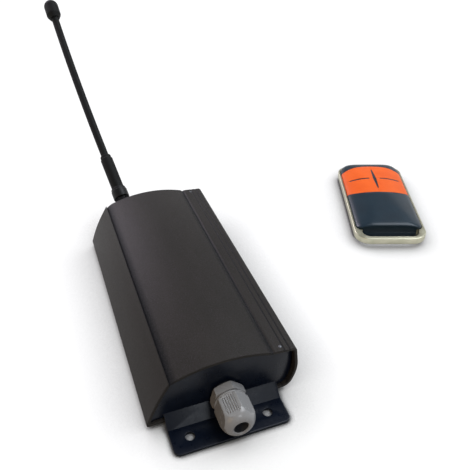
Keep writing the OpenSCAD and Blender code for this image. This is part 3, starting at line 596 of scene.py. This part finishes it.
def key_orange():
    """Orange soft-touch pad with a fine even grain."""
    paint = Surface("key_orange", specular_ior_level=0.25)
    paint.colour(paint.noise(11, detail=3), srgb(244, 98, 24), srgb(252, 108, 32))
    fine = paint.noise(0.45, detail=2)
    paint.rough(fine, 0.4, 0.52)
    paint.bump(fine, 0.008)
    return paint.material


def fuse_glass():
    glass = Surface("fuse_glass", transmission_weight=0.85, ior=1.5)
    glass.colour(glass.noise(4), srgb(226, 232, 228), srgb(240, 242, 240))
    glass.rough(glass.noise(2), 0.04, 0.1)
    return glass.material


SLOTS = {
    "housing_powder": powder_coat(),
    "cap_plastic": moulded("cap_plastic", srgb(8, 15, 28), srgb(12, 20, 34), 0.3, specular_ior_level=0.22),
    "seal_rubber": rubber("seal_rubber", srgb(52, 53, 57), srgb(66, 67, 71)),
    "gland_nylon": moulded("gland_nylon", srgb(147, 146, 146), srgb(156, 155, 155), 0.24, grain=1.2,
                           depth=0.004, specular_ior_level=0.5),
    "antenna_rubber": rubber("antenna_rubber", srgb(9, 10, 10), srgb(16, 17, 16)),
    "antenna_plastic": moulded("antenna_plastic", srgb(9, 10, 11), srgb(14, 15, 16), 0.45,
                               specular_ior_level=0.25),
    "steel": metal("steel", srgb(92, 94, 98), srgb(114, 116, 120), 0.5),
    "brass": metal("brass", srgb(190, 150, 76), srgb(214, 176, 98), 0.28),
    "board_green": circuit_board(),
    "terminal_green": moulded("terminal_green", srgb(32, 104, 56), srgb(40, 118, 66), 0.45),
    "relay_blue": moulded("relay_blue", srgb(26, 62, 136), srgb(34, 74, 152), 0.3),
    "dark_plastic": moulded("dark_plastic", srgb(26, 26, 28), srgb(34, 34, 36), 0.45),
    "capacitor_sleeve": moulded("capacitor_sleeve", srgb(32, 34, 64), srgb(40, 42, 76), 0.3),
    "fuse_glass": fuse_glass(),
    "lead_jacket": moulded("lead_jacket", srgb(104, 74, 40), srgb(120, 86, 48), 0.4),
    "led_red": moulded("led_red", srgb(178, 28, 20), srgb(205, 40, 28), 0.2),
    "button_cream": moulded("button_cream", srgb(214, 204, 182), srgb(226, 216, 196), 0.4),
    "frame_metal": metal("frame_metal", srgb(176, 174, 152), srgb(196, 193, 172), 0.34, stretch=(30, 1, 1)),
    "fob_gloss": fob_gloss(),
    "key_orange": key_orange(),
}


def add(name, mesh, body, slot, nodes, place=Matrix(), sharp=33):
    """A finished piece of the model that rides on a body and stands for CAD nodes."""
    bmesh.ops.recalc_face_normals(mesh, faces=mesh.faces)
    mesh.transform(Matrix.Scale(MM, 4) @ place)
    data = bpy.data.meshes.new(name)
    mesh.to_mesh(data)
    mesh.free()
    data.shade_smooth()
    data.set_sharp_from_angle(angle=math.radians(sharp))
    data.materials.append(SLOTS[slot])
    made = placed(name, data)
    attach(made, body)
    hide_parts(*nodes)


# Housing
def section_corners():
    """Corners of the section with their radii, from the shares of its sides."""
    corners = [Vector((x * BODY_W, FLOOR_Z + z * BODY_H)) for x, z, share in SECTION]
    made = []
    for i, here in enumerate(corners):
        last, after = corners[i - 1] - here, corners[(i + 1) % len(corners)] - here
        radius = SECTION[i][2] * min(last.length, after.length) * math.tan(last.angle(after) / 2)
        made.append((here.x, here.y, radius))
    return made


def inset_section(distance, least=0, longest=math.inf):
    """Outline of the section moved inwards, with no corner rounder than its sides allow or sharper
    than least."""
    corners = section_corners()
    points = [Vector(c[:2]) for c in corners]
    inner = []
    for i, here in enumerate(points):
        last = (points[i - 1] - here).normalized()
        after = (points[(i + 1) % len(points)] - here).normalized()
        sign = 1 if cross(-last, after) > 0 else -1
        spot = here + (last + after).normalized() * sign * distance / math.sin(last.angle(after) / 2)
        inner.append((spot.x, spot.y, max(corners[i][2] - sign * distance, least)))
    spots = [Vector(c[:2]) for c in inner]
    count = len(inner)

    def half(i):
        return (spots[i - 1] - spots[i]).angle(spots[(i + 1) % count] - spots[i]) / 2

    taken = [inner[i][2] / math.tan(half(i)) for i in range(count)]
    limited = []
    for i, (x, y, radius) in enumerate(inner):
        room = min((spots[i] - spots[i - 1]).length - taken[i - 1],
                   (spots[i] - spots[(i + 1) % count]).length - taken[(i + 1) % count])
        limited.append((x, y, min(radius, 0.96 * max(room, 0) * math.tan(half(i)))))
    return rounded(limited, longest=longest)


def grooved(outline):
    """Outline with the soft cove, the valley and the two fine grooves pressed into its top."""
    pressed = []
    for point in finely(outline, DIP_STEP):
        if point.y > FLOOR_Z + TOP_SHARE * BODY_H:
            for x, left, right, depth in DIPS:
                share = abs(point.x - x) / (left if point.x < x else right)
                if share < 1:
                    cove = (1 - share) ** COVE_POWER
                    shape = cove if x == COVE_X else (1 + math.cos(math.pi * share)) / 2
                    point = Vector((point.x, point.y - depth * shape))
        pressed.append(point)
    return pressed


def housing():
    outside = grooved(inset_section(0, longest=ARC_STEP))
    inside = hole(finely(inset_section(WALL_T), 1))
    shell = plate([outside, inside], -END_Y, END_Y, SHELL_EDGE)
    add("housing", shell, "receiver", "housing_powder", ["housing_shell"], turn(90, "X"))
    top = max(p.y for p in outside if abs(p.x - LOCK_X) < ARC_STEP)
    pin = turned([(0, -2.6), (0.8, -2.6), (0.8, -0.05), (0.6, 0.06), (0.3, 0.12), (0, 0.14)], 24)
    pins = [moved(pin.copy(), shift(LOCK_X, end * (END_Y - LOCK_IN), top)) for end in (-1, 1)]
    pin.free()
    add("lock_pins", joined(*pins), "receiver", "steel", ["cap_lock_pins"])


# End caps
def cap_solid():
    """A cap with its foot for the -Y end."""
    outline = finely(inset_section(CAP_INSET, CAP_EDGE + 0.1), 2)
    body = moved(plate([outline], FACE_Y - CAP_L, FACE_Y, CAP_EDGE), turn(90, "X"))
    holes = [hole(circle(side * HOLE_PITCH / 2, -END_Y - HOLE_OUT, HOLE_R)) for side in (-1, 1)]
    outline = rectangle((-FOOT_W / 2, -END_Y - FOOT_OUT), (FOOT_W / 2, -END_Y - FOOT_GAP), FOOT_R, 0.2)
    foot = plate([outline] + holes, 0, FOOT_T, FOOT_EDGE)
    root = -CAP_RECESS - WEB_ROOT
    web = [(FOOT_GAP, FOOT_T / 2, 0), (WEB_OUT, FOOT_T / 2, 0), (WEB_OUT, FOOT_T, 0),
           (-CAP_RECESS, WEB_H, 0), (root, WEB_H, 0), (root, WEB_LOW, 0), (FOOT_GAP, WEB_LOW, 0)]
    upright = Matrix(((0, 0, 1, 0), (-1, 0, 0, -END_Y), (0, 1, 0, 0), (0, 0, 0, 1)))
    slope = moved(plate([rounded(web)], -FOOT_W / 2, FOOT_W / 2, FOOT_EDGE), upright)
    cap = combined(combined(foot, slope, "UNION"), body, "UNION")
    sliced(cap, [BEND_X + k for k in range(12)], [])
    for vert in cap.verts:
        if vert.co.x > BEND_X and -FACE_Y - 0.01 < vert.co.y < -FACE_Y + CAP_EDGE + 0.01:
            vert.co.y += BEND * (vert.co.x - BEND_X) ** 2
    return cap


def caps():
    """The front cap with the pocket of the gland, and the rear one as its mirror image without."""
    pocket_r = HEX_R + POCKET_GAP
    pocket = turned([(0, 0), (pocket_r, 0), (pocket_r, POCKET_L), (0, POCKET_L)], 96)
    front = combined(cap_solid(), moved(pocket, ON_GLAND), "DIFFERENCE")
    add("front_cap", front, "receiver", "cap_plastic", ["front_end_cap"])
    rear = moved(cap_solid(), MIRROR_Y)
    add("rear_cap", rear, "receiver", "cap_plastic", ["rear_end_cap"])


# Cable gland
def hex_radius(angle, apothem, turn_deg):
    """Radius of a hexagon with a corner at turn_deg."""
    within = (math.degrees(angle) - turn_deg) % 60 - 30
    return apothem / math.cos(math.radians(within))


def gland():
    """Washer, hexagon, seal ring and dome nut; profiles are (r, z) points, with a radius as third value
    where corners are rounded."""
    washer = turned([(6, 0), (WASHER_R - 0.1, 0), (WASHER_R, 0.3), (WASHER_R, WASHER_T), (6, WASHER_T)])
    add("gland_flat_washer", washer, "receiver", "seal_rubber", ["gland_washer"], ON_GLAND)

    levels = [(HEX_R - HEX_CHAMFER * (1 - k / HEX_STEPS) ** 1.6,
               WASHER_T + HEX_CHAMFER * 0.6 * k / HEX_STEPS) for k in range(HEX_STEPS + 1)]
    levels += [(r, WASHER_T + HEX_Z - z) for r, z in reversed(levels)]
    profile = [(4.7, WASHER_T)] + levels + [(6.6, HEX_Z), (6.6, 13), (6.2, 13.4), (4.7, 13.4)]
    hexagon = turned(profile, 360, lambda a, r, z:
                     min(r, hex_radius(a, HEX_FLAT, GLAND_TURN) - 0.05) if r > 7 else r)
    add("gland_hexagon", hexagon, "receiver", "gland_nylon", ["gland_body", "gland_clamp"], ON_GLAND)

    seal = turned([(SEAL_BORE_R, 6), (4.6, 6), (4.6, 17.4), (4.3, 17.7), (3.46, 17.7), (3.46, 21.3),
                   (SEAL_BORE_R, 21.5)])
    add("gland_seal_ring", seal, "receiver", "seal_rubber", ["gland_seal"], ON_GLAND)

    lip_r = MOUTH_R + 0.4
    angles = (math.pi / 2 * k / DOME_STEPS for k in range(DOME_STEPS + 1))
    dome = [(lip_r + (NUT_R - lip_r) * math.cos(a), NUT_END - DOME_L * (1 - math.sin(a)), 0)
            for a in angles]
    base = [(7.0, NUT_Z, 0), (7.3, NUT_Z, 0), (7.3, NUT_Z + NUT_NECK, 0), (7.9, NUT_Z + NUT_NECK, 0.2),
            (7.9, FACETS_Z - 0.2, 0.15), (7.6, FACETS_Z, 0), (NUT_R, FACETS_Z + 0.5, 0.3)]
    mouth = [(MOUTH_R, NUT_END - 0.4, 0), (MOUTH_R, 18, 0), (6.9, 17.8, 0)]

    def facets(angle, r, z):
        """Six flats round the nut, every second one with fine ribs."""
        if r < 7.4 or z < FACETS_Z:
            return r
        shaped = min(r, hex_radius(angle, NUT_FLAT, GLAND_TURN))
        degrees = math.degrees(angle) - GLAND_TURN
        facet = int((degrees % 360) // 60)
        across = NUT_FLAT * math.tan(math.radians(degrees % 60 - 30))
        if facet % 2 and abs(across) < 2.5 * RIB_PITCH:
            wave = (1 - math.cos(math.tau * (across / RIB_PITCH + 0.5))) / 2
            ends = min(z - FACETS_Z - 0.3, NUT_END - DOME_L + 2.4 - z)
            shaped -= RIB_DEPTH * max(0, min(1, ends / 0.8)) * (1 - wave) ** 2
        return shaped

    nut = lathed(base + dome + mouth, 6, 480, facets, 0.5)
    add("gland_nut", nut, "gland_nut", "gland_nylon", ["gland_dome_nut"], ON_GLAND, sharp=14)


# Antenna
def antenna_foot():
    """The connector in the rear cap and the knurled coupling on it."""
    socket = [(0, -9), (3.1, -9), (3.1, 0), (4.4, 0), (4.4, 1.5), (4.1, 1.8), (3.1, 1.8), (3.1, 3.3),
              (2.9, 3.4), (2.1, 3.4), (2.1, 1.8), (0, 1.8)]
    flange = turned(socket, 96, lambda a, r, z: min(r, hex_radius(a, CONN_FLAT, 0)) if r > 4 else r)
    add("antenna_socket", flange, "receiver", "brass", ["antenna_connector"], ON_CONNECTOR)
    ring = [(2.1, 3.6, 0), (3.2, 1.95, 0), (4.6, 1.95, 0.25), (4.6, COUPLING_TOP, 0.25),
            (2.1, COUPLING_TOP, 0)]
    knurled = lathed(ring, 4, 192, lambda a, r, z:
                     r - KNURL_DEPTH * (1 + math.cos(KNURLS * a)) / 2 if r > 4.3 else r)
    add("antenna_ring", knurled, "receiver", "antenna_plastic", ["antenna_coupling"], ON_CONNECTOR)


def knuckle():
    """The fork that turns in the coupling, with its cross pin, and the collar with its tongue."""
    back = PIVOT_OUT + CAP_RECESS - COUPLING_TOP - 0.1
    rod = lathed([(0, -back, 0), (FORK_R, -back, 0.3), (FORK_R, CHEEK_END, 0.8), (0, CHEEK_END, 0)], 5)
    cheek = rounded([(CHEEK_R, -back - 1, 0), (CHEEK_R, CHEEK_END, 3.9), (-CHEEK_R, CHEEK_END, 3.9),
                     (-CHEEK_R, -back - 1, 0)], 12)
    fork = combined(moved(rod, ALONG_Y), moved(plate([cheek], -6, 6), SIDEWAYS), "INTERSECT")
    slot = plate([rectangle((-SLOT_W / 2, -4.3), (SLOT_W / 2, 9), 0.4)], -9, 9)
    fork = combined(fork, slot, "DIFFERENCE")
    bore = moved(turned([(0, -9), (PIN_BORE_R, -9), (PIN_BORE_R, 9), (0, 9)], 40), ALONG_X)
    fork = combined(fork, bore.copy(), "DIFFERENCE")
    add("antenna_fork", fork, "antenna_joint", "antenna_plastic", ["antenna_swivel"], ON_SWIVEL)

    end, bevel = PIN_L / 2, 0.2
    pin = turned([(0, -end), (PIN_R - bevel, -end), (PIN_R, bevel - end), (PIN_R, end - bevel),
                  (PIN_R - bevel, end), (0, end)], 32)
    add("antenna_cross_pin", moved(pin, ALONG_X), "antenna_joint", "steel", ["knuckle_pin"], ON_SWIVEL)

    tongue = rounded([(TONGUE_R, 5.2, 0), (-TONGUE_R, 5.2, 0), (-TONGUE_R, -TONGUE_R, 3.75),
                      (TONGUE_R, -TONGUE_R, 3.75)], 14)
    tongue = moved(plate([tongue], -TONGUE_T / 2, TONGUE_T / 2, 0.2), SIDEWAYS)
    tongue = combined(tongue, bore, "DIFFERENCE")
    top = COLLAR_LOW + COLLAR_L
    neck_r = COLLAR_R - COLLAR_STEP
    collar = lathed([(0, COLLAR_LOW, 0), (COLLAR_R, COLLAR_LOW, 0.5), (COLLAR_R, top - 1.9, 0.3),
                     (neck_r, top - 1.6, 0), (neck_r, top, 0.5), (0, top, 0)], 5)
    add("antenna_collar_piece", combined(moved(collar, ALONG_Y), tongue, "UNION"), "antenna",
        "antenna_plastic", ["antenna_collar"], ON_WHIP)


def bowed(mesh):
    """Bends a solid that stands along z so that it follows the whip's slight bow, then lays it along Y."""
    for vert in mesh.verts:
        along = max(vert.co.z - SLEEVE_TOP, 0)
        angle = along / BOW_R
        base = min(vert.co.z, SLEEVE_TOP)
        x = BOW_R * (1 - math.cos(angle)) + vert.co.x * math.cos(angle)
        y = base + BOW_R * math.sin(angle) - vert.co.x * math.sin(angle)
        vert.co = (x, y, vert.co.y)
    return mesh


def whip():
    """The stiff sleeve, the bowed rubber whip and its moulded tip."""
    low = COLLAR_LOW + COLLAR_L + 0.05
    neck_r = SLEEVE_R - NECK_STEP
    sleeve = lathed([(0, low, 0), (SLEEVE_R, low, 0.2), (SLEEVE_R, SLEEVE_TOP - 2.6, 0.4),
                     (neck_r, SLEEVE_TOP - 2.2, 0.2), (neck_r, SLEEVE_TOP, 0.5), (0, SLEEVE_TOP, 0)], 5)
    add("antenna_sleeve_piece", moved(sleeve, ALONG_Y), "antenna", "antenna_rubber",
        ["antenna_sleeve"], ON_WHIP)
    tip_base = WHIP_L - TIP_L
    start, end = SLEEVE_TOP - 4, tip_base + 2
    profile = [(0, start), (WHIP_R, start)]
    profile += [(WHIP_R, SLEEVE_TOP + (end - SLEEVE_TOP) * k / WHIP_STEPS) for k in range(WHIP_STEPS + 1)]
    profile.append((0, end))
    add("antenna_whip_piece", bowed(turned(profile, 40)), "antenna", "antenna_rubber",
        ["antenna_whip"], ON_WHIP)
    tip = lathed([(0, tip_base, 0), (WHIP_R + 0.9, tip_base, 0.4), (TIP_R, tip_base + 3.2, 2.5),
                  (TIP_R, WHIP_L, 5.0), (0, WHIP_L, 0)], 10, longest=1.2)
    add("antenna_tip_piece", bowed(tip), "antenna", "antenna_rubber", ["antenna_tip"], ON_WHIP)


# Hand transmitter
def fob_outline(inset=0):
    side = FOB_W / 2 - inset
    return rectangle((-side, FOB_LOW + inset), (side, FOB_HIGH - inset),
                     FOB_LOW_R - inset, FOB_TOP_R - inset)


def inside_by(x, y):
    """Distance of a point inside the shell's outline."""
    radius = FOB_TOP_R if y > FOB_MID else FOB_LOW_R
    u = abs(x) - FOB_W / 2 + radius
    v = abs(y - FOB_MID) - FOB_L / 2 + radius
    return radius - math.hypot(max(u, 0), max(v, 0)) - min(max(u, v), 0)


def crown_drop(x, y):
    """How far the crowned, round-edged top lies below the transmitter's full thickness."""
    across = CROWN_R - math.sqrt(CROWN_R ** 2 - x * x)
    along = LONG_CROWN_R - math.sqrt(LONG_CROWN_R ** 2 - (y - FOB_MID) ** 2)
    share = 1 - min(max(inside_by(x, y) / ROUND_W, 0), 1)
    return (across ** 3 + along ** 3) ** (1 / 3) + ROUND_H * (1 - math.sqrt(1 - share * share))


def crowned(mesh, low, high):
    """Bends a flat solid under the crown: its lowest level stays, its highest follows the crown.
    The cells are finer near the shell's edges, which are round."""
    xs = [x * 0.5 for x in range(-42, 43) if abs(x) % 3 == 0 or abs(x) > 34]
    ys = [FOB_MID + y * 0.5 for y in range(-80, 81) if abs(y) % 5 == 0 or abs(y) > 72]
    sliced(mesh, xs, ys)
    for vert in mesh.verts:
        share = 1 if high == low else min(max((vert.co.z - low) / (high - low), 0), 1)
        vert.co.z -= crown_drop(vert.co.x, vert.co.y) * share
    return mesh


def bow_y(x, end_y, bow):
    """The pad's curved end: it passes end_y in the middle and falls back by bow at the shell's sides."""
    radius = ((FOB_W / 2) ** 2 + bow * bow) / (2 * abs(bow))
    return end_y - math.copysign(radius - math.sqrt(radius * radius - x * x), bow)


def pad_end(end_y, bow, low_x, high_x, count=28):
    """Points along a curved end of the pad."""
    xs = [low_x + (high_x - low_x) * k / count for k in range(count + 1)]
    return [Vector((x, bow_y(x, end_y, bow))) for x in xs]


def upper_band():
    """Outline of the shell above the key pad."""
    arc = pad_end(PAD_TOP + PAD_GAP, PAD_TOP_BOW, -FOB_W / 2, FOB_W / 2)
    shell = [p for p in finely(fob_outline(), 1) if p.y > bow_y(p.x, PAD_TOP, PAD_TOP_BOW) + 0.3]
    return arc + sorted_round(shell)


def lower_band():
    """Outline of the shell below the key pad."""
    arc = pad_end(PAD_LOW - PAD_GAP, -PAD_LOW_BOW, FOB_W / 2, -FOB_W / 2)
    shell = [p for p in finely(fob_outline(), 1) if p.y < bow_y(p.x, PAD_LOW, -PAD_LOW_BOW) - 0.3]
    return arc + sorted_round(shell, lower=True)


def sorted_round(points, lower=False):
    """Points put in anticlockwise order round the shell's middle, from its right or its left side."""
    start = math.pi if lower else 0
    return sorted(points, key=lambda p: (math.atan2(p.y - FOB_MID, p.x) - start + 1.2) % math.tau)


def key_outline(side, end):
    """One zone of the key pad, with half of the tapered slit and half of a side slit cut out."""
    far_x = FOB_W / 2 - PAD_GAP
    slit_x0 = FOB_W / 4 * (1 - SIDE_SLIT_SHARE)
    slit_x1 = FOB_W / 4 * (1 + SIDE_SLIT_SHARE)
    line_y = PAD_MID + end * PAD_LINE
    slit_y = PAD_MID + end * (0.5 * SIDE_SLIT_W)
    tip_y = PAD_MID + end * (SLIT_L / 2)
    arc_y, bow = (PAD_TOP - PAD_GAP, PAD_TOP_BOW) if end > 0 else (PAD_LOW + PAD_GAP, -PAD_LOW_BOW)
    points = [Vector(p) for p in (
        (SLIT_W / 2, line_y), (slit_x0, line_y), (slit_x0 + 0.1, slit_y), (slit_x1 - 0.1, slit_y),
        (slit_x1, line_y), (far_x, line_y))]
    points += pad_end(arc_y, bow, far_x, PAD_LINE)
    points += [Vector((PAD_LINE, tip_y)), Vector((SLIT_END_W / 2, tip_y))]
    points = [Vector((side * p.x, p.y)) for p in points]
    return points if side * end > 0 else points[::-1]


def slit_ribs():
    """Outlines of the shell's dark ribs that stand in the slits of the pad."""
    wide, end_wide = SLIT_W / 2 - RIB_GAP, SLIT_END_W / 2 - RIB_GAP
    high = SLIT_L / 2 - RIB_GAP
    tapered = [(wide, 0), (end_wide, high), (-end_wide, high), (-wide, 0), (-end_wide, -high),
               (end_wide, -high)]
    ribs = [[Vector((x, PAD_MID + y)) for x, y in tapered]]
    low_x, high_x = (FOB_W / 4 * (1 + sign * SIDE_SLIT_SHARE) - sign * 2 * RIB_GAP for sign in (-1, 1))
    half = SIDE_SLIT_W / 2 - RIB_GAP
    for start, end in ((low_x, high_x), (-high_x, -low_x)):
        ribs.append(rectangle((start, PAD_MID - half), (end, PAD_MID + half)))
    return ribs


def transmitter():
    bend_z, tray_top = PARTING_Z + 2, FOB_T - KEY_T
    shell = joined(
        crowned(plate([upper_band()], PARTING_Z, FOB_T, 0.15), bend_z, FOB_T - 1),
        crowned(plate([lower_band()], PARTING_Z, FOB_T, 0.15), bend_z, FOB_T - 1),
        crowned(plate([fob_outline(0.3)], PARTING_Z, tray_top - 0.6), bend_z, tray_top - 1))
    for rib in slit_ribs():
        joined(shell, crowned(plate([rib], tray_top - 1.5, FOB_T - RIB_DROP), 0, 0))
    add("fob_upper_shell", shell, "transmitter", "fob_gloss", ["transmitter_top"], ON_FOB)

    for name, side, end in (("upper_left", -1, 1), ("upper_right", 1, 1),
                            ("lower_left", -1, -1), ("lower_right", 1, -1)):
        key = crowned(plate([key_outline(side, end)], FOB_T - KEY_T, FOB_T, 0.1, 2), 0, 0)
        add("fob_key_" + name, key, name + "_key", "key_orange", ["key_" + name], ON_FOB)

    back = joined(plate([fob_outline(1.2)], 0, 1.3, 0.3),
                  plate([fob_outline(0)], 1.0, PARTING_Z - 0.05, 0.8, 5))
    add("fob_lower_shell", back, "transmitter", "fob_gloss", ["transmitter_back"], ON_FOB)

    wall, high_y = FOB_W / 2 + FRAME_GAP, FOB_HIGH + FRAME_GAP
    side_x = wall + FRAME_T
    low_y = FOB_LOW - LOOP_L - BAR_W
    outside = rectangle((-side_x, low_y), (side_x, high_y + FRAME_T),
                        LOOP_R, FOB_TOP_R + FRAME_GAP + FRAME_T)
    loop_x = side_x - BAR_W - FRAME_T
    ledge_y = FOB_LOW - FRAME_GAP
    top_r = FOB_TOP_R + FRAME_GAP
    inside = rounded([(-loop_x, low_y + BAR_W, LOOP_INNER_R), (loop_x, low_y + BAR_W, LOOP_INNER_R),
                      (loop_x, ledge_y, 0), (wall, ledge_y, FOB_LOW_R), (wall, high_y, top_r),
                      (-wall, high_y, top_r), (-wall, ledge_y, FOB_LOW_R), (-loop_x, ledge_y, 0)])
    ring = plate([outside, hole(inside)], FRAME_Z, FRAME_Z + FRAME_H, 0.6, 5)
    add("fob_frame", ring, "transmitter", "frame_metal", ["loop_frame"], ON_FOB)


housing()
caps()
gland()
antenna_foot()
knuckle()
whip()
transmitter()
for name, item in frame["nodes"].items():
    slot = next(s["material_slot"] for s in frame["record"]["subparts"] if s["node"] == name)
    item.data.materials.clear()
    item.data.materials.append(SLOTS[slot])


# Stage, lights and camera, in metres
FLAT_R = 5
CURVE_R = 2
CURVE_STEPS = 8
WALL_TOP = 3
STUDIO_AROUND = 96
FLOOR_SHADES = [(0.036, 1.7), (0.003, 7)]
FLOOR_GLOW = 0.88
FLOOR_PAINT = 0.2
WORLD_STRENGTH = 0.3
CAMERA = (-0.0566, -0.2466, 0.235)
VIEW_RIGHT = Vector((0.9387, -0.3448, 0))
VIEW_UP = Vector((0.2039, 0.5551, 0.8066))
FOCAL_SHARE = 597.5 / 470


def studio():
    """Round white floor that curves up into a backdrop."""
    angles = (math.pi / 2 * k / CURVE_STEPS for k in range(1, CURVE_STEPS + 1))
    rings = [(0.5, 0), (2, 0), (FLAT_R, 0)]
    rings += [(FLAT_R + CURVE_R * math.sin(a), CURVE_R - CURVE_R * math.cos(a)) for a in angles]
    rings.append((FLAT_R + CURVE_R, WALL_TOP))
    mesh = bmesh.new()
    loops = [[mesh.verts.new((p.x, p.y, z)) for p in circle(0, 0, r, STUDIO_AROUND)] for r, z in rings]
    mesh.faces.new(loops[0])
    for low, high in zip(loops, loops[1:]):
        for k in range(STUDIO_AROUND):
            after = (k + 1) % STUDIO_AROUND
            mesh.faces.new((low[k], high[k], high[after], low[after]))
    data = bpy.data.meshes.new("studio")
    mesh.to_mesh(data)
    mesh.free()
    data.shade_smooth()
    data.materials.append(studio_white())
    backdrop = placed("studio", data)


def studio_white():
    """Pale paint that what looks at it, a mirror or a lens sees as white, darker where the object stands
    close, so that the floor keeps its soft shadow."""
    material = bpy.data.materials.new("studio_white")
    material.use_nodes = True
    tree = material.node_tree
    tree.nodes.clear()

    def node(kind, **values):
        made = tree.nodes.new(kind)
        for key, value in values.items():
            setattr(made, key, value)
        return made

    def math_node(operation, first, second):
        made = node("ShaderNodeMath", operation=operation)
        for socket, value in zip(made.inputs, (first, second)):
            if isinstance(value, (int, float)):
                socket.default_value = value
            else:
                tree.links.new(value, socket)
        return made.outputs[0]

    def openness(distance, power):
        """1 in the open, less where something stands within that distance."""
        made = node("ShaderNodeAmbientOcclusion", samples=4)
        made.inputs["Distance"].default_value = distance
        return math_node("POWER", made.outputs["AO"], power)

    path = node("ShaderNodeLightPath")
    seen = math_node("MAXIMUM", path.outputs["Is Camera Ray"], path.outputs["Is Glossy Ray"])
    seen = math_node("MAXIMUM", seen, path.outputs["Is Transmission Ray"])
    shade = math_node("MULTIPLY", *[openness(*values) for values in FLOOR_SHADES])
    glow = node("ShaderNodeEmission")
    strength = math_node("MULTIPLY", math_node("MULTIPLY", seen, shade), FLOOR_GLOW)
    tree.links.new(strength, glow.inputs["Strength"])
    paint = node("ShaderNodeBsdfDiffuse")
    paint.inputs["Color"].default_value = (FLOOR_PAINT, FLOOR_PAINT, FLOOR_PAINT, 1)
    both = node("ShaderNodeAddShader")
    tree.links.new(paint.outputs[0], both.inputs[0])
    tree.links.new(glow.outputs[0], both.inputs[1])
    tree.links.new(both.outputs[0], node("ShaderNodeOutputMaterial").inputs["Surface"])
    return material


def world():
    """Soft light from all round."""
    made = bpy.data.worlds.new("studio")
    bpy.context.scene.world = made
    made.use_nodes = True
    shade = made.node_tree.nodes["Background"]
    shade.inputs["Color"].default_value = (1, 1, 1, 1)
    shade.inputs["Strength"].default_value = WORLD_STRENGTH


def lamp(name, place, target, size, power, colour):
    """Square area lamp that faces the target."""
    data = bpy.data.lights.new(name, "AREA")
    data.shape = "SQUARE"
    data.size = size
    data.energy = power
    data.color = colour
    made = placed(name, data)
    made.location = place
    made.rotation_euler = (Vector(target) - Vector(place)).to_track_quat("-Z", "Y").to_euler()


def camera():
    data = bpy.data.cameras.new("camera")
    data.sensor_width = 36
    data.lens = FOCAL_SHARE * data.sensor_width
    data.clip_start, data.clip_end = 0.01, 50
    made = placed("camera", data)
    right, up = VIEW_RIGHT.normalized(), VIEW_UP.normalized()
    back = right.cross(up)
    made.matrix_world = Matrix.Translation(CAMERA) @ Matrix((right, up, back)).transposed().to_4x4()
    bpy.context.scene.camera = made


studio()
world()
lamp("key", (1.2, 0.2, 2.1), (0.03, 0, 0.02), 1.5, 39, colour=(0.89, 0.94, 1))
lamp("sheen", (-0.75, 2.0, 1.2), (0, 0, 0.02), 1.0, 25, colour=(0.94, 0.84, 1))
lamp("front", (0.3, -1.5, 1.3), (0, 0, 0.02), 0.4, 4.5, colour=(0.88, 0.94, 1))
lamp("fill", (-1.6, -1.1, 0.7), (0, 0, 0.02), 1.0, 5, colour=(1, 0.6, 0.2))
camera()
bpy.context.scene.view_settings.view_transform = "Standard"
